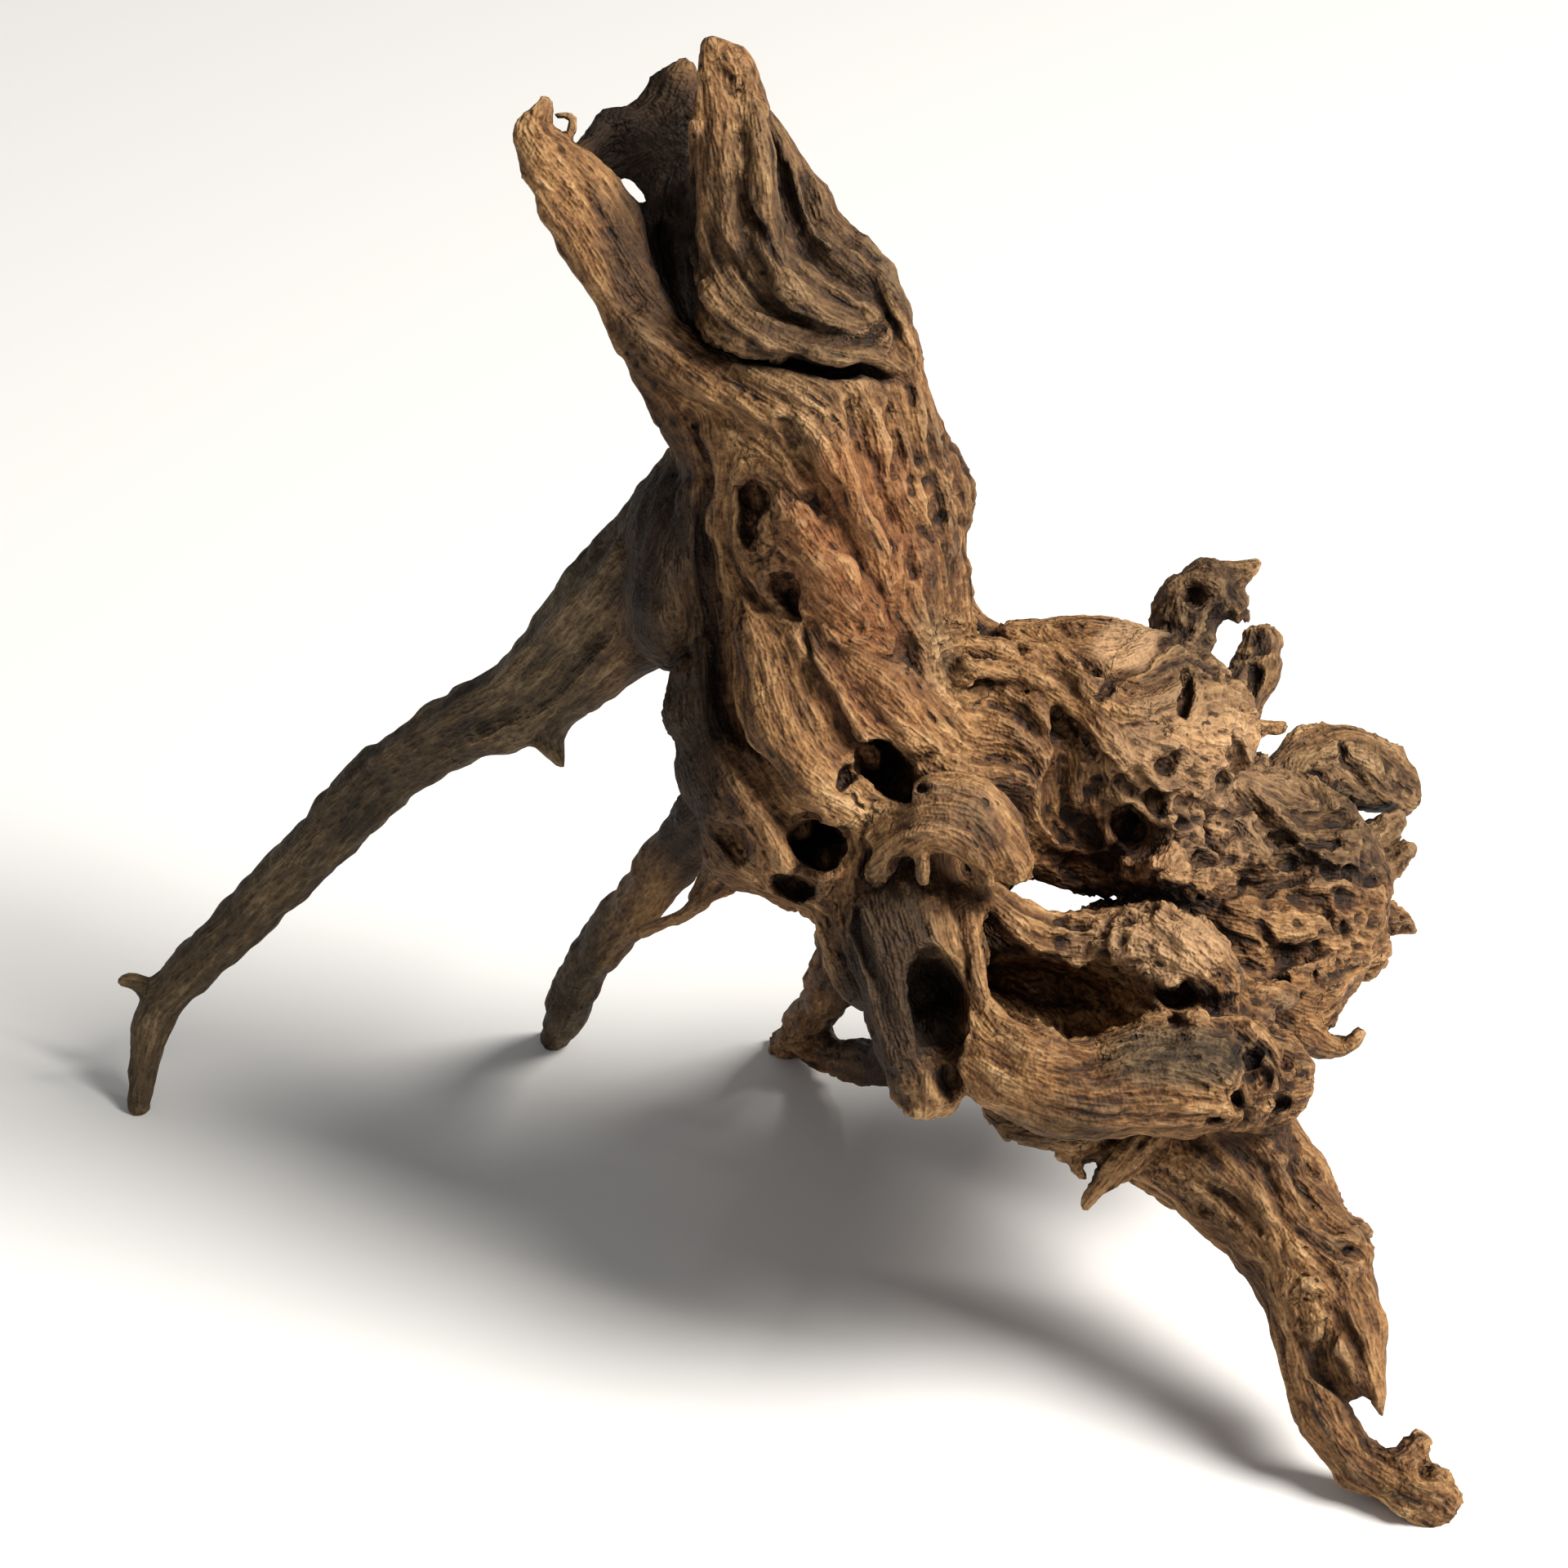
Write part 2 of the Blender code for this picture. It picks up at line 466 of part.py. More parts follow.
def right_leg(wood):
    """The thick leg under the rim: it splits into a torn flake and the thinner limb that ends in the front foot."""
    wood.add(Limb([
        (362, 140, -34, 26),
        (380, 121, -24, 22.5),
        (396, 101, -15, 18.5),
        (406, 80, -8, 15.8),
        (409, 64, -4, 13),
    ]), blend=9)
    wood.add(Limb([(413, 74, -2, 10), (419, 60, 0, 6), (422, 48, 2, 2)], flat=0.6), blend=4)
    wood.cut(Limb([(404, 64, 12, 4.5), (411, 56, 10, 5), (420, 43, 8, 5)], flat=2.2), blend=2)
    wood.add(Limb([(399, 76, -8, 9), (401, 58, -6, 8), (407, 42, -4, 7.5), (420, 29, -2, 8), (434, 24, 0, 10),
                   (438, 21, 0, 9.4)]), blend=4)
    wood.add(Limb([(428, 32, 0, 5.5), (434, 39, -1, 3.5)]), blend=3)
    wood.add(Limb([(414, 102, -12, 5), (418, 103, -12, 2.6)]), blend=2)
    wood.groove([(372, 116, 3), (380, 110, 3), (386, 104, 2.5)])
    wood.ridge([(386, 128, 4), (398, 112, 5), (410, 104, 4.5), (416, 96, 4)])
    wood.groove([(396, 122, 3), (404, 110, 3), (412, 98, 2.5)])
    wood.ridge([(396, 84, 3), (404, 88, 4), (414, 92, 3)])
    wood.groove([(400, 96, 2.5), (408, 88, 2.5), (410, 76, 2.5), (404, 66, 2.5)])


def under_spikes(wood):
    """The torn fibres that hang below the rim."""
    wood.add(Limb([(350, 134, -14, 7), (343, 124, -12, 5), (337, 117, -12, 2.8), (332, 111, -12, 1.7)]), blend=3)
    wood.add(Limb([(324, 142, -10, 6), (313, 136, -8, 2.4), (307, 136, -8, 1.7)]), blend=3)
    wood.add(Limb([(336, 130, -16, 5), (330, 128, -16, 2.4), (324, 126.5, -16, 1.7)]), blend=3)
    wood.add(Lobe(320, 136, -14, (10, 5, 8)), blend=3)
    wood.add(Lobe(330, 132, -16, (8, 8, 8)), blend=3)


def back_side(wood):
    """The side away from the eye: stubs of broken roots, a long split down the trunk, folds and hollows."""
    wood.add(Limb([(262, 350, -26, 16), (266, 358, -46, 10), (268, 362, -58, 7.5)]), blend=8)
    wood.add(Limb([(300, 250, -54, 18), (304, 254, -84, 12), (307, 250, -104, 9)]), blend=8)
    wood.add(Lobe(240, 300, -46, (24, 30, 14)), blend=8)
    wood.add(Lobe(330, 176, -66, (24, 16, 14), turn=-20), blend=8)
    wood.pit(268, 364, (4, 4, 8), rear=True)
    wood.pit(308, 249, (5, 4, 9), rear=True)
    wood.ridge([(226, 430, 5), (240, 400, 8), (256, 372, 9), (264, 340, 10), (262, 305, 11), (250, 275, 10)], rear=True)
    wood.groove([(216, 420, 3), (226, 392, 4.5), (238, 362, 5), (244, 330, 5), (240, 300, 4)], rear=True)
    wood.groove([(276, 370, 3), (282, 340, 4.5), (280, 310, 4.5), (286, 282, 3.5)], rear=True)
    wood.ridge([(282, 330, 5), (290, 300, 8), (304, 275, 9), (326, 262, 8), (346, 262, 6)], rear=True)
    wood.pit(262, 262, (12, 9, 18), rear=True)
    wood.pit(318, 236, (14, 9, 20), turn=-15, rear=True)
    wood.pit(392, 206, (9, 12, 16), turn=20, rear=True)
    wood.ridge([(296, 228, 8), (330, 222, 8), (360, 224, 9), (388, 238, 7)], rear=True)
    wood.groove([(340, 250, 4), (362, 240, 5), (380, 226, 5), (398, 196, 4)], rear=True)
    wood.ridge([(300, 182, 7), (330, 168, 9), (356, 158, 9), (378, 142, 7)], rear=True)
    wood.pit(320, 190, (12, 8, 14), turn=20, rear=True)
    wood.groove([(352, 180, 4), (368, 168, 5), (378, 150, 4), (390, 120, 3)], rear=True)


def carve():
    wood = Wood((-256, -232, -266), (230, 240, 96), GRID_STEP)
    trunk(wood)
    left_limb(wood)
    burl(wood)
    middle_limb(wood)
    rear_roots(wood)
    trunk_hollow(wood)
    burl_hollows(wood)
    trunk_relief(wood)
    burl_relief(wood)
    back_side(wood)
    wood.lumps(size=17, height=1.3, seed=1)
    wood.lumps(size=8, height=0.6, seed=2)
    right_leg(wood)
    knobs(wood)
    under_spikes(wood)
    slit(wood)
    flap(wood)
    return wood


def stand_up(mesh):
    """Turns the drawing's frame into the standing one, in metres, with the floor at zero height."""
    lean = Matrix.Rotation(math.pi / 2 - EYE_ELEVATION, 4, "X")
    drop = Matrix.Translation((-CENTRE_ACROSS, -CENTRE_DEPTH, -FLOOR_HEIGHT))
    mesh.transform(Matrix.Scale(MM, 4) @ drop @ lean)


def new_collection(name):
    collection = bpy.data.collections.new(name)
    bpy.context.scene.collection.children.link(collection)
    return collection


def floor_block(collection):
    """The block under the floor, which takes the feet off flat."""
    mesh = bpy.data.meshes.new("floor_block")
    bm = bmesh.new()
    size = Matrix.Diagonal((*FLOOR_BLOCK, 1.0))
    bmesh.ops.create_cube(bm, size=1.0, matrix=Matrix.Translation((0.0, 0.0, -FLOOR_BLOCK[2] / 2)) @ size)
    bm.to_mesh(mesh)
    bm.free()
    block = bpy.data.objects.new("floor_block", mesh)
    block.display_type = "WIRE"
    block.hide_render = True
    collection.objects.link(block)
    return block


def drop_scraps(mesh):
    """Leaves only the largest body of the mesh: a hollow may cut a thin tip loose."""
    bm = bmesh.new()
    bm.from_mesh(mesh)
    left, largest = set(bm.verts), set()
    while left:
        body, edge = set(), {left.pop()}
        while edge:
            body |= edge
            edge = {e.other_vert(v) for v in edge for e in v.link_edges} - body
        left -= body
        largest = max(largest, body, key=len)
    bmesh.ops.delete(bm, geom=[v for v in bm.verts if v not in largest], context="VERTS")
    bm.to_mesh(mesh)
    bm.free()


def wood_material():
    material = bpy.data.materials.new("wood")
    material.use_nodes = True
    shader = material.node_tree.nodes["Principled BSDF"]
    shader.inputs["Base Color"].default_value = (0.21, 0.105, 0.042, 1.0)
    shader.inputs["Roughness"].default_value = 0.75
    return material


def main():
    for obj in list(bpy.data.objects):
        bpy.data.objects.remove(obj)
    parts = new_collection("piece_of_driftwood")
    cutters = new_collection("cutters")
    cutters.hide_render = True
    mesh = carve().mesh("driftwood")
    drop_scraps(mesh)
    stand_up(mesh)
    mesh.materials.append(wood_material())
    piece = bpy.data.objects.new("driftwood", mesh)
    parts.objects.link(piece)
    fewer = piece.modifiers.new("fewer_faces", "DECIMATE")
    fewer.ratio = TRIANGLES / (2 * len(mesh.polygons))
    feet = piece.modifiers.new("flat_feet", "BOOLEAN")
    feet.operation = "DIFFERENCE"
    feet.solver = "EXACT"
    feet.object = floor_block(cutters)


main()
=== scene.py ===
"""The looks of a piece of driftwood: the weathered butt of a root, which stands on the tips of its limbs.

The wood is built up again as a finer distance field. Limbs and lobes are merged with soft joins, and hollows
are taken out of them, as in the solid. Every stroke also tells which way the grain runs. Grain, cracks and
worm-eaten patches are then raised on the mesh along that direction, and the material follows it.

Every shape is laid out on a face drawing, a square sheet that shows the piece as the camera sees it. A point
is (across, up, out, radius), in millimetres: across from the sheet's left edge, up from its bottom edge, and
out of the sheet, towards the camera. A ridge's or groove's point, (across, up, radius), is on the surface.
"""

import math

import bmesh
import bpy
import numpy as np
import openvdb
from mathutils import Matrix, Vector


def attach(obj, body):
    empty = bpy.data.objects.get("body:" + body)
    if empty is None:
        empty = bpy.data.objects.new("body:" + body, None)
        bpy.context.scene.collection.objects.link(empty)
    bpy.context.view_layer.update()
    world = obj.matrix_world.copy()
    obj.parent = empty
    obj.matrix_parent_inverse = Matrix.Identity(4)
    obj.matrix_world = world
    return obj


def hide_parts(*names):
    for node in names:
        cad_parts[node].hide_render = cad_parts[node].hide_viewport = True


# The face drawing, in millimetres
SHEET = 480.0
EYE_DISTANCE = 1500.0
EYE_ELEVATION = math.radians(30.0)
FLOOR_HEIGHT = -194.0
CENTRE_ACROSS = -9.4
CENTRE_DEPTH = 20.5
MM = 0.001

# The distance field, in millimetres from the sheet's middle, and the mesh
FIELD_LOW = (-256, -232, -266)
FIELD_HIGH = (230, 240, 96)
GRID_STEP = 1.1
BAND = 12.0
TRIANGLES = 196000
FOOT_GAP = 0.2 * MM

# The grain: how far a knot or stroke turns it, and the end of the piece that it runs towards
KNOT_REACH = 10.0
GRAIN_RUNS = (0.3, -1.0, 0.15)

# Streaks along the grain: their width and step in millimetres, steps each way, and seed
STREAKS = ((1.7, 1.6, 5, 10), (3.4, 2.4, 6, 11), (8.0, 5.0, 6, 12))

# How far each kind of relief stands out or goes in, in millimetres
LUMP_HEIGHT = 0.8
FINE_HEIGHT = 0.22
BROAD_HEIGHT = 0.42
WIDE_HEIGHT = 0.8
CRAG_HEIGHT = 1.0
PIT_DEPTH = 2.6
GNAW_DEPTH = 1.4

# Distances out from the surface at which hollows are felt for, in millimetres, for the shade painted into
# them
OPEN_REACHES = (7.0, 12.0, 18.0, 27.0)

# Corners of the sheet: across, up, and how softly each side ends
LEFT_LIMB = (205.0, 345.0, (10.0, 10.0))
MIDDLE_LIMB = (212.0, 232.0, (6.0, 8.0))
# The grey limbs on the left: grey wood, painted dark as their shade
GREY_LIMBS_IN_SHADE = (206.0, 345.0, (26.0, 20.0))

# Patches of the sheet: strength, across, up, half width, half height, and for some, depth and its softness
EATEN = (
    (1.0, 352, 222, 34, 26), (1.0, 336, 188, 20, 12), (1.0, 384, 158, 16, 14), (1.0, 404, 204, 20, 24),
    (1.0, 376, 286, 16, 16), (1.0, 288, 330, 10, 16),
)
WHOLE_SPOT = (357.5, 169, 6, 6)
SMOOTH = ((1.0, 245, 250, 14, 34), (1.0, 292, 226, 26, 14), (1.0, 310, 150, 24, 12))
GREY_PATCHES = (
    (0.55, 408, 232, 34, 22), (0.45, 372, 286, 22, 26), (0.5, 247, 405, 34, 50), (0.9, 362, 157, 22, 9),
    (0.5, 284, 280, 9, 14),
)
RED_PATCHES = ((0.7, 262, 316, 20, 30), (0.4, 268, 268, 16, 24), (0.6, 340, 216, 16, 16))
# Painted shade: near-black patches where parts lie in shade, over the hollow trunk, the column under the lip,
# the left limbs, the underside of the rim and the left of the leg
PAINTED_SHADE_PATCHES = (
    (1.0, 196, 440, 20, 26, 10.0, 14.0), (1.0, 206, 396, 10, 26, 2.0, 14.0),
    (0.8, 286, 172, 8, 11, 6.0, 16.0), (0.95, 272, 178, 18, 34), (0.9, 206, 280, 14, 62),
    (0.6, 214, 236, 12, 32), (0.7, 197, 398, 11, 34),
    (0.5, 366, 296, 13, 18), (0.35, 366, 156, 16, 8), (0.6, 316, 134, 26, 6), (0.3, 245, 392, 20, 26),
    (0.5, 190, 320, 18, 22), (0.35, 374, 104, 14, 26), (0.15, 410, 242, 26, 18),
)
PALE_PATCHES = (
    (1.6, 346, 283, 10, 7), (1.0, 352, 190, 22, 12), (0.6, 364, 240, 26, 26), (0.35, 290, 232, 18, 9),
)

# Colours of the wood, the first two from dark to light. The grey wood is also dark as painted shade on the
# left limbs
BROWN_WOOD = (
    (0.0, (0.040, 0.017, 0.006)), (0.28, (0.115, 0.050, 0.016)), (0.5, (0.215, 0.104, 0.036)),
    (0.72, (0.330, 0.178, 0.070)), (1.0, (0.500, 0.310, 0.150)),
)
GREY_WOOD_WITH_SHADE = (
    (0.0, (0.022, 0.014, 0.007)), (0.5, (0.078, 0.050, 0.024)), (1.0, (0.22, 0.150, 0.080)),
)
RED_WOOD = (0.27, 0.085, 0.024)
PALE_WOOD = (0.52, 0.32, 0.17)
# The paler colour of raised edges: partly wear, partly a painted highlight
WORN_AND_LIT_EDGE = (0.50, 0.32, 0.16)
# Painted shade: the dark colour laid into the pits
PAINTED_PIT_SHADE = (0.02, 0.011, 0.006)
CRACK_DIRT = (0.016, 0.009, 0.005)
# The near-black colour of the painted shade
PAINTED_SHADE_COLOUR = (0.012, 0.0055, 0.002)

# The material's relief in metres, and how much noise averaged along the grain is stretched out again
BUMP_HEIGHT = 0.0011
AVERAGE_GAIN = 2.2


def true_place(across, up, out):
    """Where a point of the drawing is, from the sheet's middle. What lies further back is truly larger."""
    spread = (EYE_DISTANCE - out) / EYE_DISTANCE
    return np.array([(across - SHEET / 2) * spread, (up - SHEET / 2) * spread, out]), spread


def smooth_min(a, b, blend):
    """The lesser of two distances, rounded where they meet."""
    share = np.clip(0.5 + 0.5 * (b - a) / blend, 0.0, 1.0)
    return b + (a - b) * share - blend * share * (1.0 - share)


def hashed(numbers):
    """Whole numbers between 0 and 65535 that look random, from whole numbers of any size."""
    mixed = numbers & 0xFFFFFFFF
    mixed = ((mixed ^ (mixed >> 13)) * 1103515245) & 0xFFFFFFFF
    return (mixed ^ (mixed >> 16)) & 0xFFFF


def noise(x, y, z, seed):
    """Smooth noise between -1 and 1, from a hash of the eight lattice corners round each place."""
    total = 0.0
    low, part = zip(*((np.floor(c).astype(np.int64), c - np.floor(c)) for c in (x, y, z)))
    part = [p * p * (3.0 - 2.0 * p) for p in part]
    for corner in np.ndindex(2, 2, 2):
        i, j, k = (c + d for c, d in zip(low, corner))
        place = i * 374761393 + j * 668265263 + k * 2147483647 + seed * 1274126177
        value = hashed(place) / 32767.5 - 1.0
        share = 1.0
        for p, d in zip(part, corner):
            share = share * (p if d else 1.0 - p)
        total = total + share * value
    return total


def smooth_curve(points, steps=5):
    """Points along a Catmull-Rom curve through the given ones."""
    points = np.array(points, np.float64)
    ends = np.vstack([2 * points[0] - points[1], points, 2 * points[-1] - points[-2]])
    curve = []
    for a, b, c, d in zip(ends, ends[1:], ends[2:], ends[3:]):
        for t in np.arange(steps) / steps:
            square, cube = 2 * a - 5 * b + 4 * c - d, 3 * b - a - 3 * c + d
            curve.append(0.5 * (2 * b + (c - a) * t + square * t**2 + cube * t**3))
    return np.array([*curve, points[-1]])


class Limb:
    """A tapering round or flattened limb along a smooth curve."""

    def __init__(self, points, flat=1.0, facing=(0.0, 0.0, 1.0)):
        places = []
        for across, up, out, radius in points:
            place, spread = true_place(across, up, out)
            places.append([*place, radius * spread])
        self.curve = smooth_curve(places)
        self.flat = flat
        self.facing = np.array(facing) / np.linalg.norm(facing)
        reach = self.curve[:, 3:] * max(1.0, flat)
        self.low = (self.curve[:, :3] - reach).min(0)
        self.high = (self.curve[:, :3] + reach).max(0)

    def squeezed(self, x, y, z):
        """The coordinates with the flattened direction stretched back to round."""
        if self.flat == 1.0:
            return x, y, z
        n = self.facing
        along = (x * n[0] + y * n[1] + z * n[2]) * (1.0 / self.flat - 1.0)
        return x + along * n[0], y + along * n[1], z + along * n[2]

    def distance(self, x, y, z):
        nearest = np.full((x.size, y.size, z.size), BAND, np.float32)
        thin = min(1.0, self.flat)
        for start, end in zip(self.curve, self.curve[1:]):
            reach = max(start[3], end[3]) * max(1.0, self.flat) + BAND / thin
            ends = np.array([start[:3], end[:3]])
            spans = tuple(
                slice(*np.searchsorted(c.ravel(), (lo - reach, hi + reach)))
                for c, lo, hi in zip((x, y, z), ends.min(0), ends.max(0))
            )
            a, b = np.column_stack(self.squeezed(*ends.T))
            px, py, pz = self.squeezed(x[spans[0]], y[:, spans[1]], z[:, :, spans[2]])
            axis = b - a
            t = (px - a[0]) * axis[0] + (py - a[1]) * axis[1] + (pz - a[2]) * axis[2]
            t = np.clip(t / max(axis @ axis, 1e-9), 0.0, 1.0)
            gap = (px - a[0] - t * axis[0]) ** 2
            gap = gap + (py - a[1] - t * axis[1]) ** 2
            gap = gap + (pz - a[2] - t * axis[2]) ** 2
            gap = (np.sqrt(gap) - (start[3] + t * (end[3] - start[3]))) * thin
            nearest[spans] = np.minimum(nearest[spans], gap)
        return nearest


class Lobe:
    """An ellipsoid, turned in the plane of the drawing."""

    def __init__(self, across, up, out, radii, turn=0.0):
        self.middle, spread = true_place(across, up, out)
        self.radii = np.array(radii) * spread
        self.turn = math.radians(turn)
        c, s = abs(math.cos(self.turn)), abs(math.sin(self.turn))
        rx, ry, rz = self.radii
        reach = np.array([rx * c + ry * s, rx * s + ry * c, rz])
        self.low, self.high = self.middle - reach, self.middle + reach

    def distance(self, x, y, z):
        c, s = math.cos(self.turn), math.sin(self.turn)
        x, y, z = x - self.middle[0], y - self.middle[1], z - self.middle[2]
        x, y = x * c + y * s, y * c - x * s
        rx, ry, rz = self.radii
        near = np.sqrt((x / rx) ** 2 + (y / ry) ** 2 + (z / rz) ** 2)
        slope = np.sqrt((x / rx**2) ** 2 + (y / ry**2) ** 2 + (z / rz**2) ** 2)
        return near * (near - 1.0) / np.maximum(slope, 1e-6)


class Wood:
    """The distance to the wood's surface on a regular grid, negative inside, and the strokes that made it."""

    def __init__(self, low, high, step):
        self.step = step
        self.axes = [np.arange(a, b, step, dtype=np.float32) for a, b in zip(low, high)]
        self.field = np.full([len(a) for a in self.axes], BAND, np.float32)
        self.strokes = []
        self.knots = []

    def window(self, shape, margin):
        """The part of the grid that a shape can change: its slices and its coordinates."""
        spans = tuple(
            slice(*np.searchsorted(a, (lo - margin, hi + margin)))
            for a, lo, hi in zip(self.axes, shape.low, shape.high)
        )
        return spans, np.meshgrid(*(a[s] for a, s in zip(self.axes, spans)), indexing="ij", sparse=True)

    def add(self, shape, blend=6.0):
        """Merges a shape with the wood."""
        spans, (x, y, z) = self.window(shape, BAND)
        joined = smooth_min(self.field[spans], shape.distance(x, y, z), blend)
        self.field[spans] = np.clip(joined, -BAND, BAND)
        if isinstance(shape, Limb):
            self.strokes.append(shape)

    def cut(self, shape, blend=2.5):
        """Takes a shape out of the wood."""
        spans, (x, y, z) = self.window(shape, BAND)
        left = -smooth_min(-self.field[spans], shape.distance(x, y, z), blend)
        self.field[spans] = np.clip(left, -BAND, BAND)

    def face(self, across, up, rear=False):
        """How far out the surface lies on the eye's line through a point of the sheet, or None."""
        outs = np.arange(self.axes[2][-1], self.axes[2][0], -0.5 * self.step)
        outs = outs[::-1] if rear else outs
        spread = (EYE_DISTANCE - outs) / EYE_DISTANCE
        places = ((across - SHEET / 2) * spread, (up - SHEET / 2) * spread, outs)
        cells = tuple(
            np.clip(np.rint((p - a[0]) / self.step).astype(int), 0, len(a) - 1)
            for p, a in zip(places, self.axes)
        )
        inside = self.field[cells] < 0.0
        return outs[np.argmax(inside)] if inside.any() else None

    def laid_on(self, points, lift, rear):
        """Points of (across, up, radius) laid on the surface, lifted by a share of the radius."""
        side = -1.0 if rear else 1.0
        faces = [(x, y, self.face(x, y, rear), r) for x, y, r in points]
        return [(x, y, out + side * lift * r, r) for x, y, out, r in faces if out is not None]

    def ridge(self, points, lift=-0.35, rear=False):
        """A ridge along the surface."""
        self.add(Limb(self.laid_on(points, lift, rear)), blend=max(2.0, 0.7 * points[0][2]))

    def groove(self, points, lift=0.35, rear=False):
        """A groove along the surface."""
        stroke = Limb(self.laid_on(points, lift, rear))
        self.cut(stroke, blend=max(1.5, 0.5 * points[0][2]))
        self.strokes.append(stroke)

    def pit(self, across, up, radii, turn=0.0, rear=False):
        """A hole that goes into the surface, with the grain turning round it."""
        hole = Lobe(across, up, self.face(across, up, rear), radii, turn)
        self.cut(hole)
        self.knots.append(hole)

    def knot(self, across, up, radius, rear=False):
        """A place that the grain turns round."""
        self.knots.append(Lobe(across, up, self.face(across, up, rear), (radius, radius, radius)))

    def at(self, points):
        """The field at points in the drawing's frame, between the grid's own places."""
        cells = [(points[:, i] - a[0]) / self.step for i, a in enumerate(self.axes)]
        low = [np.clip(np.floor(c).astype(int), 0, len(a) - 2) for c, a in zip(cells, self.axes)]
        part = [np.clip(c - l, 0.0, 1.0) for c, l in zip(cells, low)]
        total = 0.0
        for corner in np.ndindex(2, 2, 2):
            share = 1.0
            for p, d in zip(part, corner):
                share = share * (p if d else 1.0 - p)
            total = total + share * self.field[tuple(l + d for l, d in zip(low, corner))]
        return total

    def mesh(self, name):
        """The surface as a mesh, in millimetres in the frame of the drawing."""
        grid = openvdb.FloatGrid(background=BAND)
        grid.copyFromArray(self.field)
        points, _, quads = grid.convertToPolygons(0.0, 0.0)
        points = points * self.step + [a[0] for a in self.axes]
        mesh = bpy.data.meshes.new(name)
        mesh.from_pydata(points.tolist(), [], quads.tolist())
        return mesh


def trunk(wood):
    """The hollow trunk: one stem below, and above it a front wall, a back wall and a thin left plank."""
    wood.add(Limb([(257, 240, -20, 40), (258, 262, -16, 41), (258, 285, -12, 40), (256, 308, -8, 40),
        (252, 330, -3, 40), (246, 350, 0, 39), (238, 366, 2, 33)]), blend=10)
    wood.add(Lobe(207, 305, -16, (14, 30, 26), turn=-8), blend=6)
    wood.add(Limb([(220.5, 462, 39, 6.5), (222.5, 455, 38, 9.5), (225, 442, 36, 12.5), (229, 430, 34, 16),
        (232, 417, 32, 19), (237, 404, 30, 24), (242, 393, 28, 27.5), (249, 383, 25, 28.5),
        (254, 376, 22, 25)], flat=0.66, facing=(0.25, 0.1, 0.95)), blend=4)
    wood.add(Limb([(209, 457, 10, 6), (207, 450, 7, 9.5), (206, 440, 4, 13), (205, 425, 1, 16),
        (206, 405, -3, 20), (213, 385, -6, 22), (227, 362, -6, 24)], flat=0.4), blend=5)
    wood.add(Limb([(204, 443, 6, 8), (195, 440, 8, 7.5), (186, 440, 10, 6), (181, 435, 16, 4.5),
        (176, 432, 24, 3)], flat=0.6), blend=3)
    wood.add(Limb([(198, 437, 4, 8), (190, 431, 6, 6), (183, 428.5, 10, 4.5)], flat=0.6), blend=3)
    wood.add(Limb([(167, 447, 34, 3), (164, 440, 34, 6), (168.5, 430, 33, 10), (178, 418, 31, 13.5),
        (187, 404, 29, 13.5), (194.5, 391, 27, 13.5), (202, 378, 24, 14.5), (212, 364, 18, 16.5),
        (222, 350, 10, 18)], flat=0.45, facing=(0.4, 0.0, 0.9)), blend=6)


def trunk_hollow(wood):
    """The deep slot between the plank and the front wall, which runs out to the right under a lip."""
    wood.cut(Limb([(186, 464, 40, 12), (192, 450, 38, 10), (199, 432, 33, 9.5), (203.5, 416, 30, 7.5),
        (204.5, 402, 28, 5.5)], flat=2.3), blend=2)
    wood.cut(Limb([(203.5, 412, 22, 5), (205, 400, 22, 4.8), (208.5, 390, 23, 4.4), (214, 380.5, 27, 4),
        (222, 372.5, 32, 3.8), (235, 368.5, 36, 3.6), (250, 367, 38, 3.2), (265, 367, 38, 2.8),
        (277, 364.5, 34, 2)], flat=4.5), blend=1.5)
    for out in range(-30, 50, 10):
        wood.cut(Limb([(190.5, 424, out, 1.6), (194, 421, out, 2.6), (196.5, 418, out, 1.8)], flat=3),
            blend=0.5)


